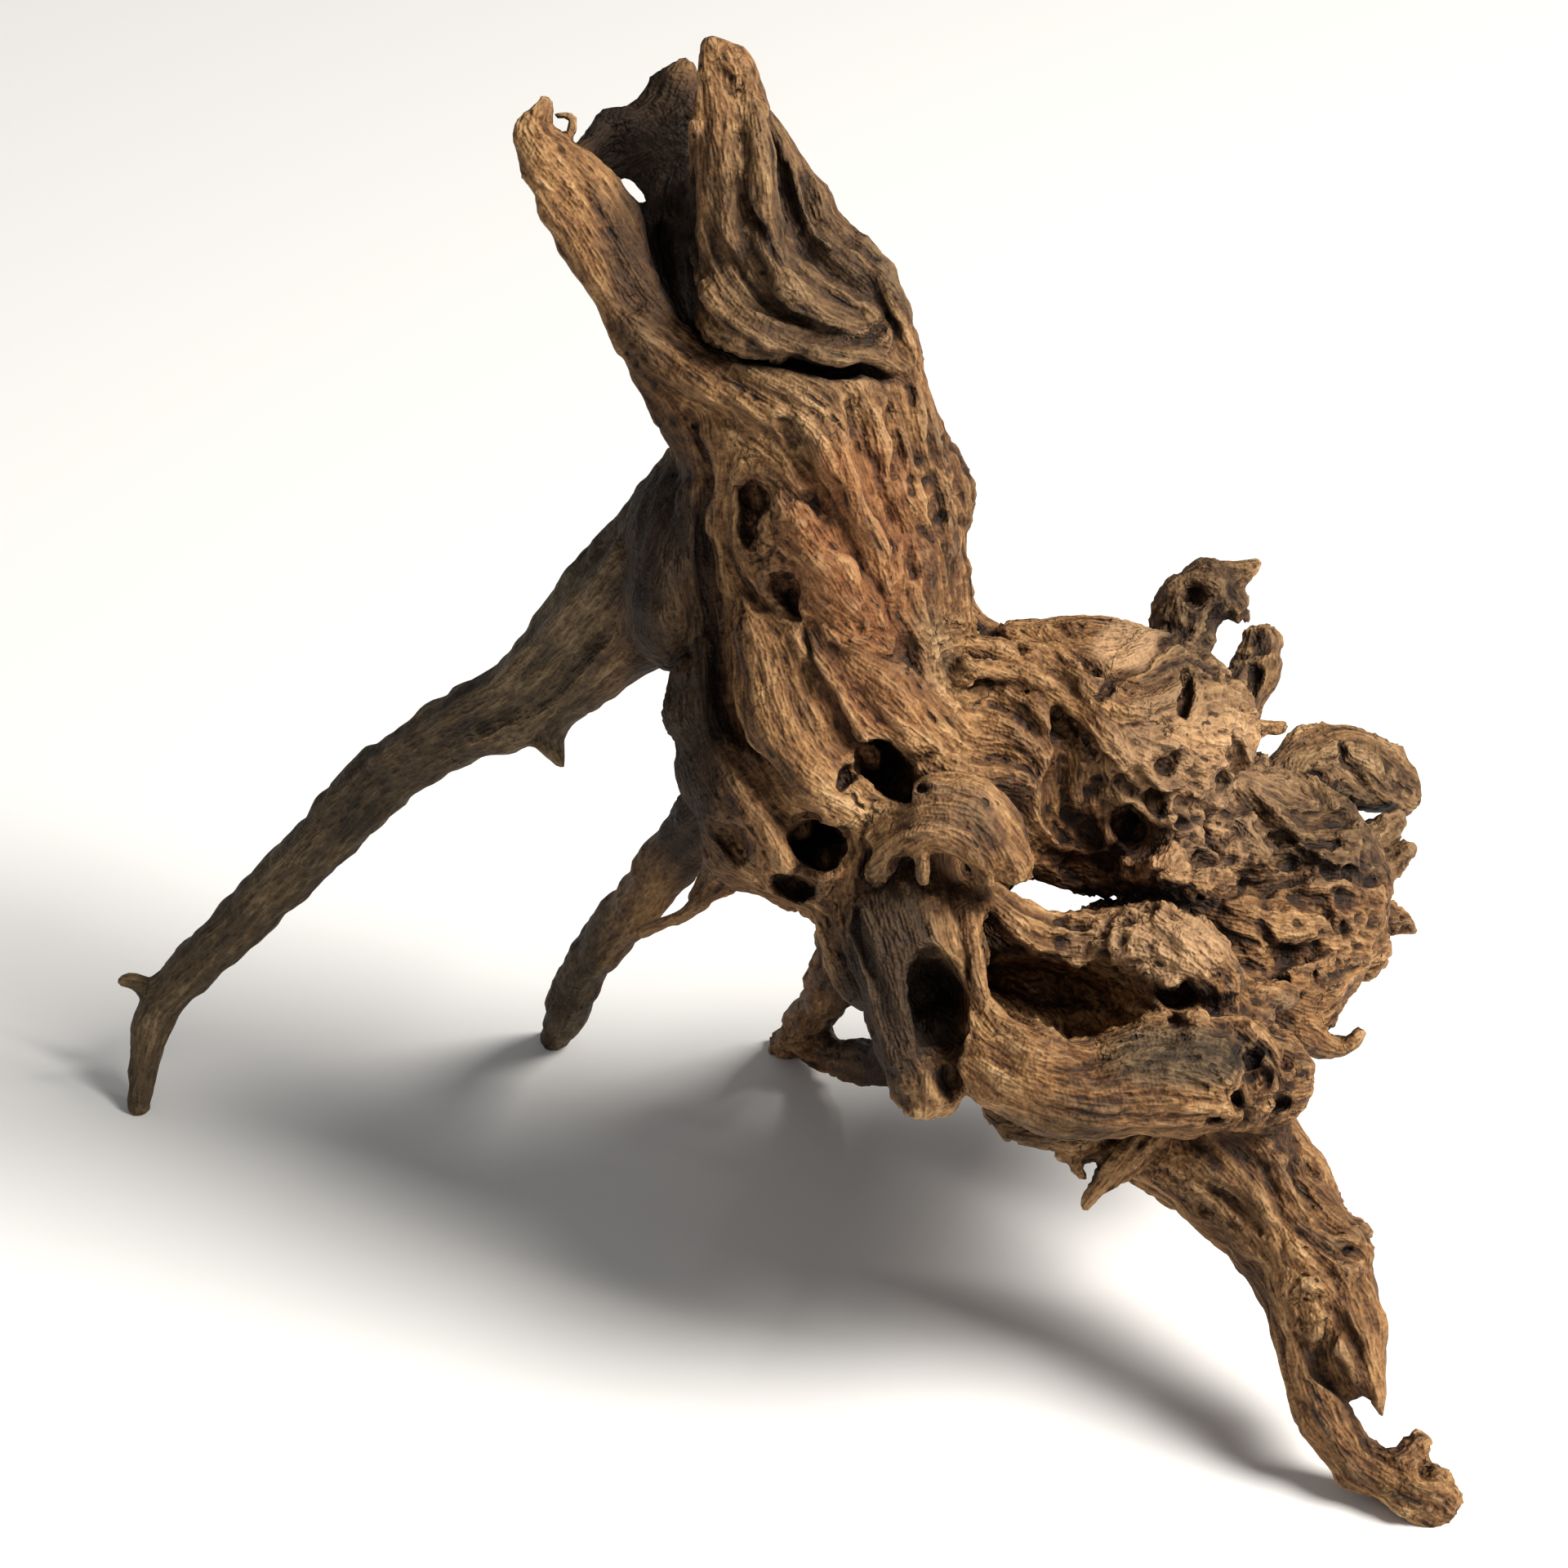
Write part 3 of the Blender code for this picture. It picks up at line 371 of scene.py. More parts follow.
def trunk_relief(wood):
    """The folds and ridges of the trunk: the band that crosses it under the slot, and the folded grain."""
    wood.ridge([(196, 378, 6), (208, 370, 8), (224, 362, 9), (240, 356, 9), (252, 348, 9), (258, 336, 8),
        (263, 322, 6)])
    wood.ridge([(278, 366, 4), (281, 352, 5), (285, 338, 5), (288, 326, 5), (289, 312, 4)])
    wood.groove([(262, 356, 4), (266, 344, 4.5), (270, 331, 4), (276, 318, 3.5), (281, 304, 2)])
    wood.groove([(273, 354, 3), (276, 342, 3), (281, 330, 2.5)])
    wood.groove([(240, 350, 3), (246, 338, 3.5), (252, 325, 3)])
    wood.ridge([(232, 446, 3), (233, 428, 3.5), (233, 410, 3.5), (240, 395, 4), (252, 383, 4),
        (270, 376, 3.5)])
    wood.groove([(226, 440, 2.5), (227, 420, 3), (228, 405, 3.5), (233, 392, 3.5), (244, 381, 3),
        (258, 376, 2)])
    wood.groove([(238, 430, 2), (240, 415, 3), (243, 402, 3), (252, 392, 3), (264, 384, 2)])
    wood.ridge([(214, 440, 3), (213, 418, 3.5), (212, 402, 5), (215, 388, 5.5), (223, 378, 5),
        (238, 373, 4.5)])
    wood.ridge([(252, 404, 4), (264, 394, 5), (274, 382, 5), (279, 370, 3.5)])
    wood.pit(232, 328, (6, 5, 8), turn=-30)
    wood.pit(230, 318, (4, 7, 8))
    wood.pit(240, 300, (6, 7, 6))
    wood.groove([(222, 336, 2), (221, 320, 3), (224, 305, 3), (232, 296, 3), (243, 291, 2)])
    wood.ridge([(242, 326, 4), (250, 312, 6), (254, 300, 7), (262, 294, 6), (270, 290, 4)])
    wood.ridge([(212, 330, 4), (212, 310, 6), (216, 290, 7), (220, 276, 7)])
    wood.ridge([(252, 280, 4), (262, 286, 4.5), (271, 300, 4), (276, 316, 3)])
    wood.groove([(246, 288, 3), (254, 280, 3), (268, 276, 2.5), (280, 280, 2)])
    wood.add(Limb([(288, 342, -6, 5), (294, 332, -6, 5), (293, 322, -6, 4)]), blend=4)
    wood.cut(Lobe(311.5, 305, -20, (15.5, 16.5, 60)), blend=2)
    wood.cut(Lobe(303, 295, -20, (7, 5.5, 60)), blend=2)


def left_limb(wood):
    """The long limb that runs back and down to the left, with its two spurs and thin foot."""
    wood.add(Limb([(232, 324, -22, 32), (206, 307, -38, 23.5), (182, 285, -60, 18.8),
        (162, 266.5, -80, 14.4), (140, 256.5, -97, 11.3), (118, 242, -118, 10), (93, 217, -146, 9),
        (72, 196, -168, 8), (54, 178, -183, 7), (47, 168, -188, 6), (44, 155, -190, 4.2),
        (42, 140, -193, 3.6)]), blend=9)
    wood.add(Limb([(167, 259, -78, 6), (170, 251, -78, 3.5), (171.5, 246.5, -78, 1.7)]), blend=4)
    wood.add(Limb([(48, 176, -186, 4.5), (42, 179, -186, 3), (37, 180, -186, 1.8)]), blend=3)
    wood.ridge([(190, 310, 4), (172, 288, 5), (158, 273, 4), (138, 260, 3), (116, 246, 3)])
    wood.groove([(186, 288, 3), (168, 268, 3.5), (148, 257, 2.5)])


def middle_limb(wood):
    """The short limb under the left lobe, and the two twigs beside it."""
    wood.add(Limb([(240, 243, -60, 15), (219, 231, -84, 10.5), (206.5, 218, -112, 8.8), (194, 202, -146, 8),
        (180.5, 186.5, -180, 7.2), (174, 172.5, -210, 6.8), (170, 162.5, -230, 4.4)]), blend=8)
    wood.add(Lobe(228, 219, -22, (13, 10.5, 18)), blend=6)
    wood.add(Limb([(224, 213, -24, 4), (213, 203, -30, 2.4), (205, 197.5, -36, 1.9), (197, 194, -40, 1.7)]),
        blend=3)
    wood.add(Limb([(219, 215, -28, 3), (214.5, 210, -32, 1.9), (211, 206, -34, 1.7)]), blend=3)


def rear_roots(wood):
    """The two short roots under the column, which meet at the rear foot."""
    wood.add(Limb([(268, 205, -50, 14), (258, 187, -110, 9), (253, 176, -160, 7.6), (247.5, 167, -200, 7),
        (241, 160, -225, 5.4)]), blend=6)
    wood.add(Limb([(292, 168, -60, 12), (280, 158, -120, 8), (268, 155, -160, 6.4), (257, 157, -190, 5.4),
        (248, 159, -208, 4.5)]), blend=5)
    wood.add(Limb([(256, 193, -40, 3.5), (247, 194, -44, 1.7)]), blend=2)


def burl(wood):
    """The gnarled mass: an upper arm, the left lobe, the column, the bowl below and the knobbed side."""
    wood.add(Lobe(268, 246, -24, (46, 34, 38)), blend=12)
    wood.add(Limb([(288, 250, -24, 30), (322, 253, -30, 36.5), (344, 254, -36, 35), (358, 255, -44, 27)]),
        blend=6)
    wood.add(Lobe(238, 236, -8, (25, 27, 27)), blend=8)
    wood.add(Lobe(214, 261, -12, (11, 11, 18)), blend=6)
    wood.add(Lobe(220, 246, -14, (12, 16, 20)), blend=6)
    wood.add(Lobe(250, 216, 0, (17, 11, 18), turn=-18), blend=6)
    wood.add(Limb([(376, 224, -76, 24), (396, 212, -86, 28), (396, 198, -84, 26), (386, 182, -72, 26)]),
        blend=8)
    wood.add(Lobe(364, 208, -78, (34, 36, 34)), blend=10)
    wood.add(Limb([(272, 206, -6, 24), (276, 191, 2, 24), (280.5, 180, 6, 20.5), (284, 167, 9, 18),
        (285, 155, 10, 14), (282, 145, 10, 7.5)]), blend=7)
    wood.add(Lobe(338, 168, -28, (52, 28, 36), turn=-4), blend=10)
    wood.add(Limb([(296, 160, 16, 11), (312, 151, 20, 13), (330, 144.5, 20, 12.5), (350, 149, 16, 15),
        (372, 151, 8, 18), (386, 150, -4, 16)]), blend=6)
    wood.add(Lobe(356, 188, -12, (25, 15, 24), turn=-14), blend=5)


def burl_hollows(wood):
    """What is open in the burl: the bowl, and the holes between its lobes."""
    wood.cut(Lobe(324, 177, 10, (29, 13, 34), turn=-12), blend=3)
    wood.cut(Lobe(322, 171.5, 4, (24, 12.5, 30), turn=-10), blend=3)
    wood.cut(Lobe(330, 167, 2, (15, 11, 28)), blend=3)
    wood.cut(Lobe(308, 190, 18, (7, 13, 22), turn=-28), blend=3)
    wood.add(Lobe(307, 190, -28, (14, 13, 14)), blend=4)
    wood.add(Lobe(304, 214, -34, (9, 8, 18)), blend=4)
    wood.add(Limb([(310, 218, -30, 6), (322, 214.5, -34, 6), (334, 211.5, -34, 6), (346, 210, -34, 6)]),
        blend=4)
    wood.add(Lobe(360, 213, -26, (20, 10, 20), turn=-6), blend=5)
    wood.add(Limb([(299, 207, 0, 6), (309, 200, 0, 6.5), (320, 194.5, -2, 6.5), (334, 194, -8, 8)]),
        blend=3)
    wood.pit(250, 221, (9, 9, 18))
    wood.pit(224, 222, (5, 7, 12), turn=20)
    wood.pit(244, 209.5, (6, 4.5, 12))
    wood.pit(272, 243, (12, 8.5, 18), turn=-50)
    wood.pit(286, 171, (11, 19, 20), turn=8)
    wood.pit(291, 148, (4, 7, 9))
    wood.pit(360, 176, (6, 6, 12))
    wood.pit(346, 227, (6, 7, 14), turn=20)
    wood.pit(327, 262, (4, 7, 9), turn=-40)
    wood.groove([(325, 265, 4), (332, 256, 6), (337, 243, 6), (336, 228, 6), (331, 220, 4)], lift=0.1)


def slit(wood):
    """The slit right through the burl, under the tip of the lip."""
    for out in range(-100, 50, 10):
        wood.cut(Limb([(311, 209, out, 1.4), (316, 208.4, out, 2.6), (324, 204.6, out, 2.6),
            (334, 204.2, out, 2), (343, 205.6, out, 1.2)], flat=5), blend=0.5)


def burl_relief(wood):
    """The bands and folds that sweep over the burl."""
    wood.ridge([(232, 286, 6), (236, 270, 8), (240, 254, 9), (250, 242, 9), (262, 232, 8), (268, 226, 6)])
    wood.groove([(220, 280, 4), (221, 262, 5), (226, 248, 5), (236, 234, 5), (242, 228, 4)])
    wood.groove([(246, 276, 3), (252, 262, 4), (260, 252, 4)])
    wood.ridge([(262, 278, 5), (274, 264, 6), (286, 252, 6), (298, 243, 5), (312, 240, 4)])
    wood.groove([(282, 262, 3), (296, 250, 4), (312, 248, 4), (322, 240, 4)])
    wood.ridge([(296, 282, 4), (316, 276, 6), (332, 270, 6), (346, 260, 6), (358, 250, 5)])
    wood.groove([(306, 266, 3), (316, 258, 4), (322, 246, 4)])
    wood.ridge([(286, 244, 5), (300, 232, 7), (312, 222, 7), (322, 214, 5)])
    wood.pit(296, 272, (5, 4, 4), turn=-20)
    wood.pit(332, 276, (7, 5, 5))
    wood.groove([(338, 262, 3), (352, 256, 4), (362, 262, 3)])
    wood.ridge([(346, 246, 5), (356, 236, 7), (362, 224, 7), (356, 214, 6)])
    wood.groove([(350, 236, 3), (366, 234, 3.5), (378, 226, 3)])
    wood.groove([(366, 218, 4), (380, 210, 4), (396, 210, 3.5)])
    wood.groove([(378, 250, 4), (382, 236, 5), (394, 224, 5), (408, 224, 4)])
    wood.ridge([(376, 200, 5), (392, 196, 6), (410, 196, 5)])
    wood.groove([(376, 190, 4), (390, 187, 4), (404, 190, 3)])
    wood.ridge([(384, 176, 4), (396, 176, 4), (408, 178, 3)])
    wood.pit(396, 215, (8, 5, 8))
    wood.pit(346, 240, (5, 5, 7))
    wood.ridge([(298, 206, 4), (298, 192, 3.5), (301, 178, 4), (308, 168, 4.5), (320, 160, 5)], lift=0.1)
    wood.groove([(330, 156, 3), (345, 160, 3.5), (362, 163, 3)])
    wood.ridge([(306, 164, 4), (318, 158, 5), (332, 157, 5), (350, 164, 5), (366, 166, 5)])
    wood.groove([(380, 165, 4), (384, 155, 4), (380, 142, 3)])
    wood.ridge([(264, 200, 4), (268, 184, 5), (274, 166, 5), (277, 150, 4)])
    wood.groove([(262, 196, 2.5), (269, 180, 3), (275, 162, 2.5)])
    wood.ridge([(356, 198, 6), (366, 190, 7), (374, 182, 6), (374, 172, 5)])


def flap(wood):
    """The curled lip that stands out over the column, in two folds with a hollow under them."""
    wood.cut(Limb([(273, 208, 36, 3.5), (282, 215, 38, 5.5), (292, 215, 38, 5.5), (301, 208, 34, 4)],
        flat=3), blend=2)
    wood.add(Limb([(267, 228, 15, 5), (277, 232, 22, 7), (288, 235, 27, 8.5), (299, 232.5, 28, 8.5),
        (307, 225.5, 26, 7.5), (312, 217.5, 22, 5.2), (315, 211.5, 18, 2.6)]), blend=4)
    wood.cut(Limb([(277, 226, 38, 1.8), (285, 229, 42, 2.2), (293, 228.5, 43, 2.4), (300, 224.5, 41, 2.4),
        (304.5, 217, 36, 2.2)], flat=3), blend=1)
    wood.add(Limb([(269, 214, 22, 4.5), (276, 220.5, 29, 5), (285, 224, 34, 5.2), (294, 222.5, 35, 5.2),
        (300, 216.5, 31, 4.4), (302, 210, 27, 2.8)]), blend=2)
    wood.add(Limb([(281, 218, 30, 3), (282.5, 210, 30, 1.8)]), blend=2)


def knobs(wood):
    """The knobs, flakes and twigs along the right side."""
    wood.add(Limb([(358, 252, -45, 17), (362, 266, -50, 12.5), (362, 280, -54, 9.6), (363, 292, -56, 11),
        (369, 299, -57, 9)]), blend=4)
    wood.add(Limb([(370, 301, -57, 7), (378, 304, -57, 4.5), (385, 308, -57, 1.8)]), blend=2.5)
    wood.add(Limb([(374, 299, -58, 6), (379, 294, -58, 4.8), (380, 290.5, -58, 3.2)]), blend=2.5)
    wood.add(Limb([(373, 256, -64, 10), (379.5, 266, -74, 8.2), (384.5, 275, -80, 7.2),
        (386, 282.5, -84, 6.4)]), blend=2)
    wood.add(Limb([(380, 256, -60, 3.5), (387, 257, -64, 2.8), (393, 257.5, -66, 2)]), blend=2)
    wood.add(Limb([(388, 226, -90, 13), (399, 242, -106, 12), (414, 243, -116, 11), (428, 238, -126, 7)]),
        blend=3)
    wood.add(Limb([(398, 251, -104, 6), (408, 253, -110, 5), (422, 249, -118, 5), (430, 242, -124, 4)]),
        blend=2)
    wood.add(Limb([(406, 219, -104, 10), (420, 222, -110, 6.5), (428, 229, -112, 2.6)]), blend=2)
    wood.add(Limb([(408, 211, -98, 9), (423, 214, -106, 5.5), (430, 219, -106, 2.6)]), blend=2)
    wood.add(Limb([(410, 201, -94, 10), (423, 200, -100, 6.5), (430, 198, -100, 3)]), blend=2.5)
    wood.add(Limb([(404, 190, -85, 12), (417, 189, -90, 8.6)]), blend=3)
    wood.add(Limb([(394, 168, -60, 8), (404, 161, -64, 3.5), (411, 160, -66, 2.6), (416, 163, -66, 2.4)]),
        blend=3)
    wood.pit(366, 298, (4, 3.5, 6))
    wood.pit(372, 290, (3, 4, 6))
    wood.pit(384, 272, (2.5, 6, 5))
    wood.pit(404, 240, (6, 4, 5))


def right_leg(wood):
    """The thick leg under the rim: it splits into a torn flake and the thinner limb of the front foot."""
    wood.add(Limb([(362, 140, -34, 26), (380, 121, -24, 22.5), (396, 101, -15, 18.5), (406, 80, -8, 15.8),
        (409, 64, -4, 13)]), blend=9)
    wood.add(Limb([(413, 74, -2, 10), (419, 60, 0, 6), (422, 48, 2, 2)], flat=0.6), blend=4)
    wood.cut(Limb([(404, 64, 12, 4.5), (411, 56, 10, 5), (420, 43, 8, 5)], flat=2.2), blend=2)
    wood.add(Limb([(399, 76, -8, 9), (401, 58, -6, 8), (407, 42, -4, 7.5), (420, 29, -2, 8),
        (434, 24, 0, 10), (438, 21, 0, 9.4)]), blend=4)
    wood.add(Limb([(428, 32, 0, 5.5), (434, 39, -1, 3.5)]), blend=3)
    wood.add(Limb([(414, 102, -12, 5), (418, 103, -12, 2.6)]), blend=2)
    wood.groove([(372, 116, 3), (380, 110, 3), (386, 104, 2.5)])
    wood.ridge([(386, 128, 4), (398, 112, 5), (410, 104, 4.5), (416, 96, 4)])
    wood.groove([(396, 122, 3), (404, 110, 3), (412, 98, 2.5)])
    wood.ridge([(396, 84, 3), (404, 88, 4), (414, 92, 3)])
    wood.groove([(400, 96, 2.5), (408, 88, 2.5), (410, 76, 2.5), (404, 66, 2.5)])


def under_spikes(wood):
    """The torn fibres that hang below the rim."""
    wood.add(Limb([(350, 134, -14, 7), (343, 124, -12, 5), (337, 117, -12, 2.8), (332, 111, -12, 1.7)]),
        blend=3)
    wood.add(Limb([(324, 142, -10, 6), (313, 136, -8, 2.4), (307, 136, -8, 1.7)]), blend=3)
    wood.add(Limb([(336, 130, -16, 5), (330, 128, -16, 2.4), (324, 126.5, -16, 1.7)]), blend=3)
    wood.add(Lobe(320, 136, -14, (10, 5, 8)), blend=3)
    wood.add(Lobe(330, 132, -16, (8, 8, 8)), blend=3)


def back_side(wood):
    """The side away from the eye: stubs of broken roots, a long split down the trunk, folds and hollows."""
    wood.add(Limb([(262, 350, -26, 16), (266, 358, -46, 10), (268, 362, -58, 7.5)]), blend=8)
    wood.add(Limb([(300, 250, -54, 18), (304, 254, -84, 12), (307, 250, -104, 9)]), blend=8)
    wood.add(Lobe(240, 300, -46, (24, 30, 14)), blend=8)
    wood.add(Lobe(330, 176, -66, (24, 16, 14), turn=-20), blend=8)
    wood.pit(268, 364, (4, 4, 8), rear=True)
    wood.pit(308, 249, (5, 4, 9), rear=True)
    wood.ridge([(226, 430, 5), (240, 400, 8), (256, 372, 9), (264, 340, 10), (262, 305, 11), (250, 275, 10)],
        rear=True)
    wood.groove([(216, 420, 3), (226, 392, 4.5), (238, 362, 5), (244, 330, 5), (240, 300, 4)], rear=True)
    wood.groove([(276, 370, 3), (282, 340, 4.5), (280, 310, 4.5), (286, 282, 3.5)], rear=True)
    wood.ridge([(282, 330, 5), (290, 300, 8), (304, 275, 9), (326, 262, 8), (346, 262, 6)], rear=True)
    wood.pit(262, 262, (12, 9, 18), rear=True)
    wood.pit(318, 236, (14, 9, 20), turn=-15, rear=True)
    wood.pit(392, 206, (9, 12, 16), turn=20, rear=True)
    wood.ridge([(296, 228, 8), (330, 222, 8), (360, 224, 9), (388, 238, 7)], rear=True)
    wood.groove([(340, 250, 4), (362, 240, 5), (380, 226, 5), (398, 196, 4)], rear=True)
    wood.ridge([(300, 182, 7), (330, 168, 9), (356, 158, 9), (378, 142, 7)], rear=True)
    wood.pit(320, 190, (12, 8, 14), turn=20, rear=True)
    wood.groove([(352, 180, 4), (368, 168, 5), (378, 150, 4), (390, 120, 3)], rear=True)


def trunk_folds(wood):
    """The sharp folds down the trunk's front wall, and those below its lip."""
    wood.groove([(236, 444, 2), (238.5, 430, 3.4), (240.5, 416, 4), (246, 405, 4), (257, 395, 3.4),
        (268, 388, 2.2), (275, 380, 1.4)], lift=-0.25)
    wood.groove([(217, 413, 1.6), (221, 402, 3.4), (229, 392, 3.6), (240, 384, 3), (255, 379, 1.6)],
        lift=-0.2)
    wood.groove([(226, 426, 1.2), (229, 415, 2), (234, 407, 2), (239, 400, 1.2)], lift=0.3)
    wood.groove([(246, 427, 1.4), (250, 413, 2.6), (262, 398, 2.6), (271, 387, 2.4), (275, 376, 1.6)],
        lift=0.3)
    wood.groove([(258, 372, 1), (266, 376, 1.6), (272, 384, 1.2)], lift=0.2)
    wood.ridge([(231, 448, 2.4), (233.5, 434, 3), (235.5, 420, 2.6), (238, 410, 1.8)], lift=-0.2)
    wood.ridge([(213, 405, 2.4), (216, 394, 3), (223, 384, 3), (235, 376, 2.8), (250, 372.5, 2.8),
        (265, 370.5, 2.6), (276, 368.5, 2.4)], lift=-0.2)
    wood.ridge([(262, 405, 2.4), (270, 395, 3), (276, 384, 3), (279.5, 372, 2.4)], lift=-0.4)
    wood.groove([(222, 459, 1.2), (225, 452, 2.2), (228, 455, 1.4)], lift=0.2)
    wood.groove([(219, 372, 1.4), (226, 364, 2.6), (238, 357, 3), (250, 352, 2), (256, 346, 1)], lift=0.5)
    wood.groove([(254, 353, 1.2), (261, 347, 2.4), (263, 338, 3), (266, 328, 3), (272, 318, 2),
        (275, 308, 1.2)], lift=0.3)
    wood.groove([(270, 352, 1.2), (274, 344, 2.6), (275, 333, 2.6), (280, 322, 2.2), (285, 315, 1.2)],
        lift=0.3)
    wood.groove([(284, 358, 1.2), (286, 346, 2), (290, 336, 2), (294, 328, 1.2)], lift=0.3)
    wood.groove([(263, 306, 1.4), (270, 299, 2.4), (274, 289, 2.8), (278, 280, 2.4), (282, 274, 1.4)],
        lift=0.2)
    wood.groove([(241, 330, 1.2), (250, 326, 2), (258, 318, 2.2), (262, 308, 2), (262, 298, 1.2)], lift=0.3)
    wood.ridge([(228, 355, 2), (238, 349, 3), (247, 340, 3), (252, 330, 2.4), (256, 320, 1.6)], lift=-0.4)
    wood.ridge([(258, 345, 1.6), (260, 334, 2.6), (264, 322, 2.6), (270, 312, 1.8)], lift=-0.3)
    wood.groove([(214, 348, 1.2), (217, 335, 2), (216, 320, 2.2), (217, 305, 2.2), (222, 292, 1.4)],
        lift=0.3)
    wood.groove([(224, 298, 1.4), (222, 284, 3), (222, 270, 4), (226, 258, 4), (232, 248, 3), (240, 239, 2)],
        lift=0.2)
    wood.groove([(246, 286, 1.2), (250, 274, 1.8), (256, 262, 1.8), (262, 252, 1.2)], lift=0.4)
    wood.groove([(254, 282, 1), (259, 271, 1.5), (266, 262, 1.5), (275, 256, 1)], lift=0.4)


def trunk_knots(wood):
    """The worn knots in the trunk, the stub of a broken branch at its foot, and its corners."""
    wood.cut(Lobe(304, 298, -20, (5.5, 9, 60), turn=14), blend=2)
    wood.add(Lobe(212, 271, -4, (6, 8, 8), turn=20), blend=4)
    wood.cut(Lobe(199, 274, 0, (5, 5, 30), turn=30), blend=2)
    wood.pit(231, 326, (4.5, 7, 7), turn=10)
    wood.groove([(226, 330, 1.2), (232, 334, 1.6), (239, 331, 1.4), (243, 324, 1.2)], lift=0.2)
    wood.ridge([(243, 312, 2), (251, 309, 3.6), (258, 306, 3.4), (262, 300, 2.4)], lift=-0.2)
    wood.pit(243, 296, (3, 5, 5), turn=15)
    wood.ridge([(290, 279, 1.6), (295, 281.5, 2), (300, 278, 2), (300, 271, 2), (294, 268, 1.6),
        (290, 272, 1.4)], lift=-0.1)
    wood.add(Lobe(294.5, 274.5, wood.face(288, 274) - 4, (5, 5, 6)), blend=2)
    wood.knot(294.5, 274.5, 5)


def flap_band(wood):
    """The lip over the column is one broad band, with a dark hollow behind it and another under it."""
    wood.add(Limb([(271, 223, 21, 5), (279, 228, 26, 6.5), (289, 230, 31, 7.5), (299, 227, 32, 7.4),
        (306, 220, 29, 6.4), (310, 214, 24, 4.6)]), blend=3)
    wood.add(Limb([(303, 218, 27, 5), (309, 214, 24, 4), (314.5, 210.5, 19, 2)]), blend=2)
    wood.cut(Lobe(270, 246, 16, (10, 8, 20), turn=-50), blend=2)
    wood.cut(Lobe(276, 237, 14, (7, 4, 18), turn=-15), blend=1.5)
    wood.add(Limb([(292, 243, 14, 6), (284, 243, 8, 4.4), (279, 240, 4, 3)]), blend=2)
    wood.add(Lobe(266, 250, -6, (8, 7, 10)), blend=3)
    wood.cut(Lobe(289, 213.5, 30, (7.5, 4.2, 20), turn=-8), blend=1.5)
    wood.cut(Lobe(276, 214, 34, (4.5, 3.5, 12), turn=30), blend=1.5)
    wood.add(Limb([(281.5, 219, 33, 2.6), (282.5, 214, 32, 2), (283, 209.5, 31, 1)]), blend=1)
    for inset, radius in ((0.0, 1.3), (3.2, 1.0), (6.4, 1.2), (9.4, 0.9)):
        wood.groove([(273, 236 - inset, radius), (284, 238.5 - inset, radius), (295, 237 - inset, radius),
            (304 - 0.4 * inset, 231 - inset, radius), (309 - 0.7 * inset, 223 - inset, radius)], lift=0.5)
    wood.cut(Lobe(250, 221.5, 4, (8.6, 8.2, 20)), blend=2)
    wood.add(Lobe(221.5, 221, -8, (6, 8, 8)), blend=4)
    wood.groove([(218, 228, 2), (222, 223, 4), (226, 217, 3.4)], lift=0.2)
    wood.cut(Lobe(244, 209, 4, (7, 4, 12), turn=-10), blend=2)
    wood.ridge([(238, 236, 2), (244, 232, 3), (252, 231, 3), (259, 228, 3), (263, 221, 2.6), (262, 214, 2)],
        lift=-0.4)
    wood.ridge([(232, 232, 2), (237, 224, 2.6), (239, 215, 2.6), (246, 213.6, 2.2), (254, 211, 2)],
        lift=-0.3)


def column_edges(wood):
    """The dark hollow down the column, and the thin bright edge between it and the bowl."""
    wood.add(Lobe(286, 191, 6, (9, 6, 10)), blend=5)
    wood.cut(Lobe(286, 172, 12, (10, 13, 18), turn=8), blend=3)
    wood.add(Limb([(295, 206, 12, 2.6), (297.5, 197, 17, 2.6), (299, 187, 20, 2.6), (301, 175, 21, 2.6),
        (306, 168, 23, 2.8), (314, 162, 27, 3), (323, 156.5, 28, 3), (333, 154.5, 24, 3)]), blend=2)
    wood.groove([(252, 200, 1.2), (258, 184, 2), (264, 168, 2.2), (270, 154, 1.6)], lift=0.3)
    wood.groove([(262, 202, 1), (266, 188, 1.6), (270, 174, 1.6), (273, 160, 1)], lift=0.3)


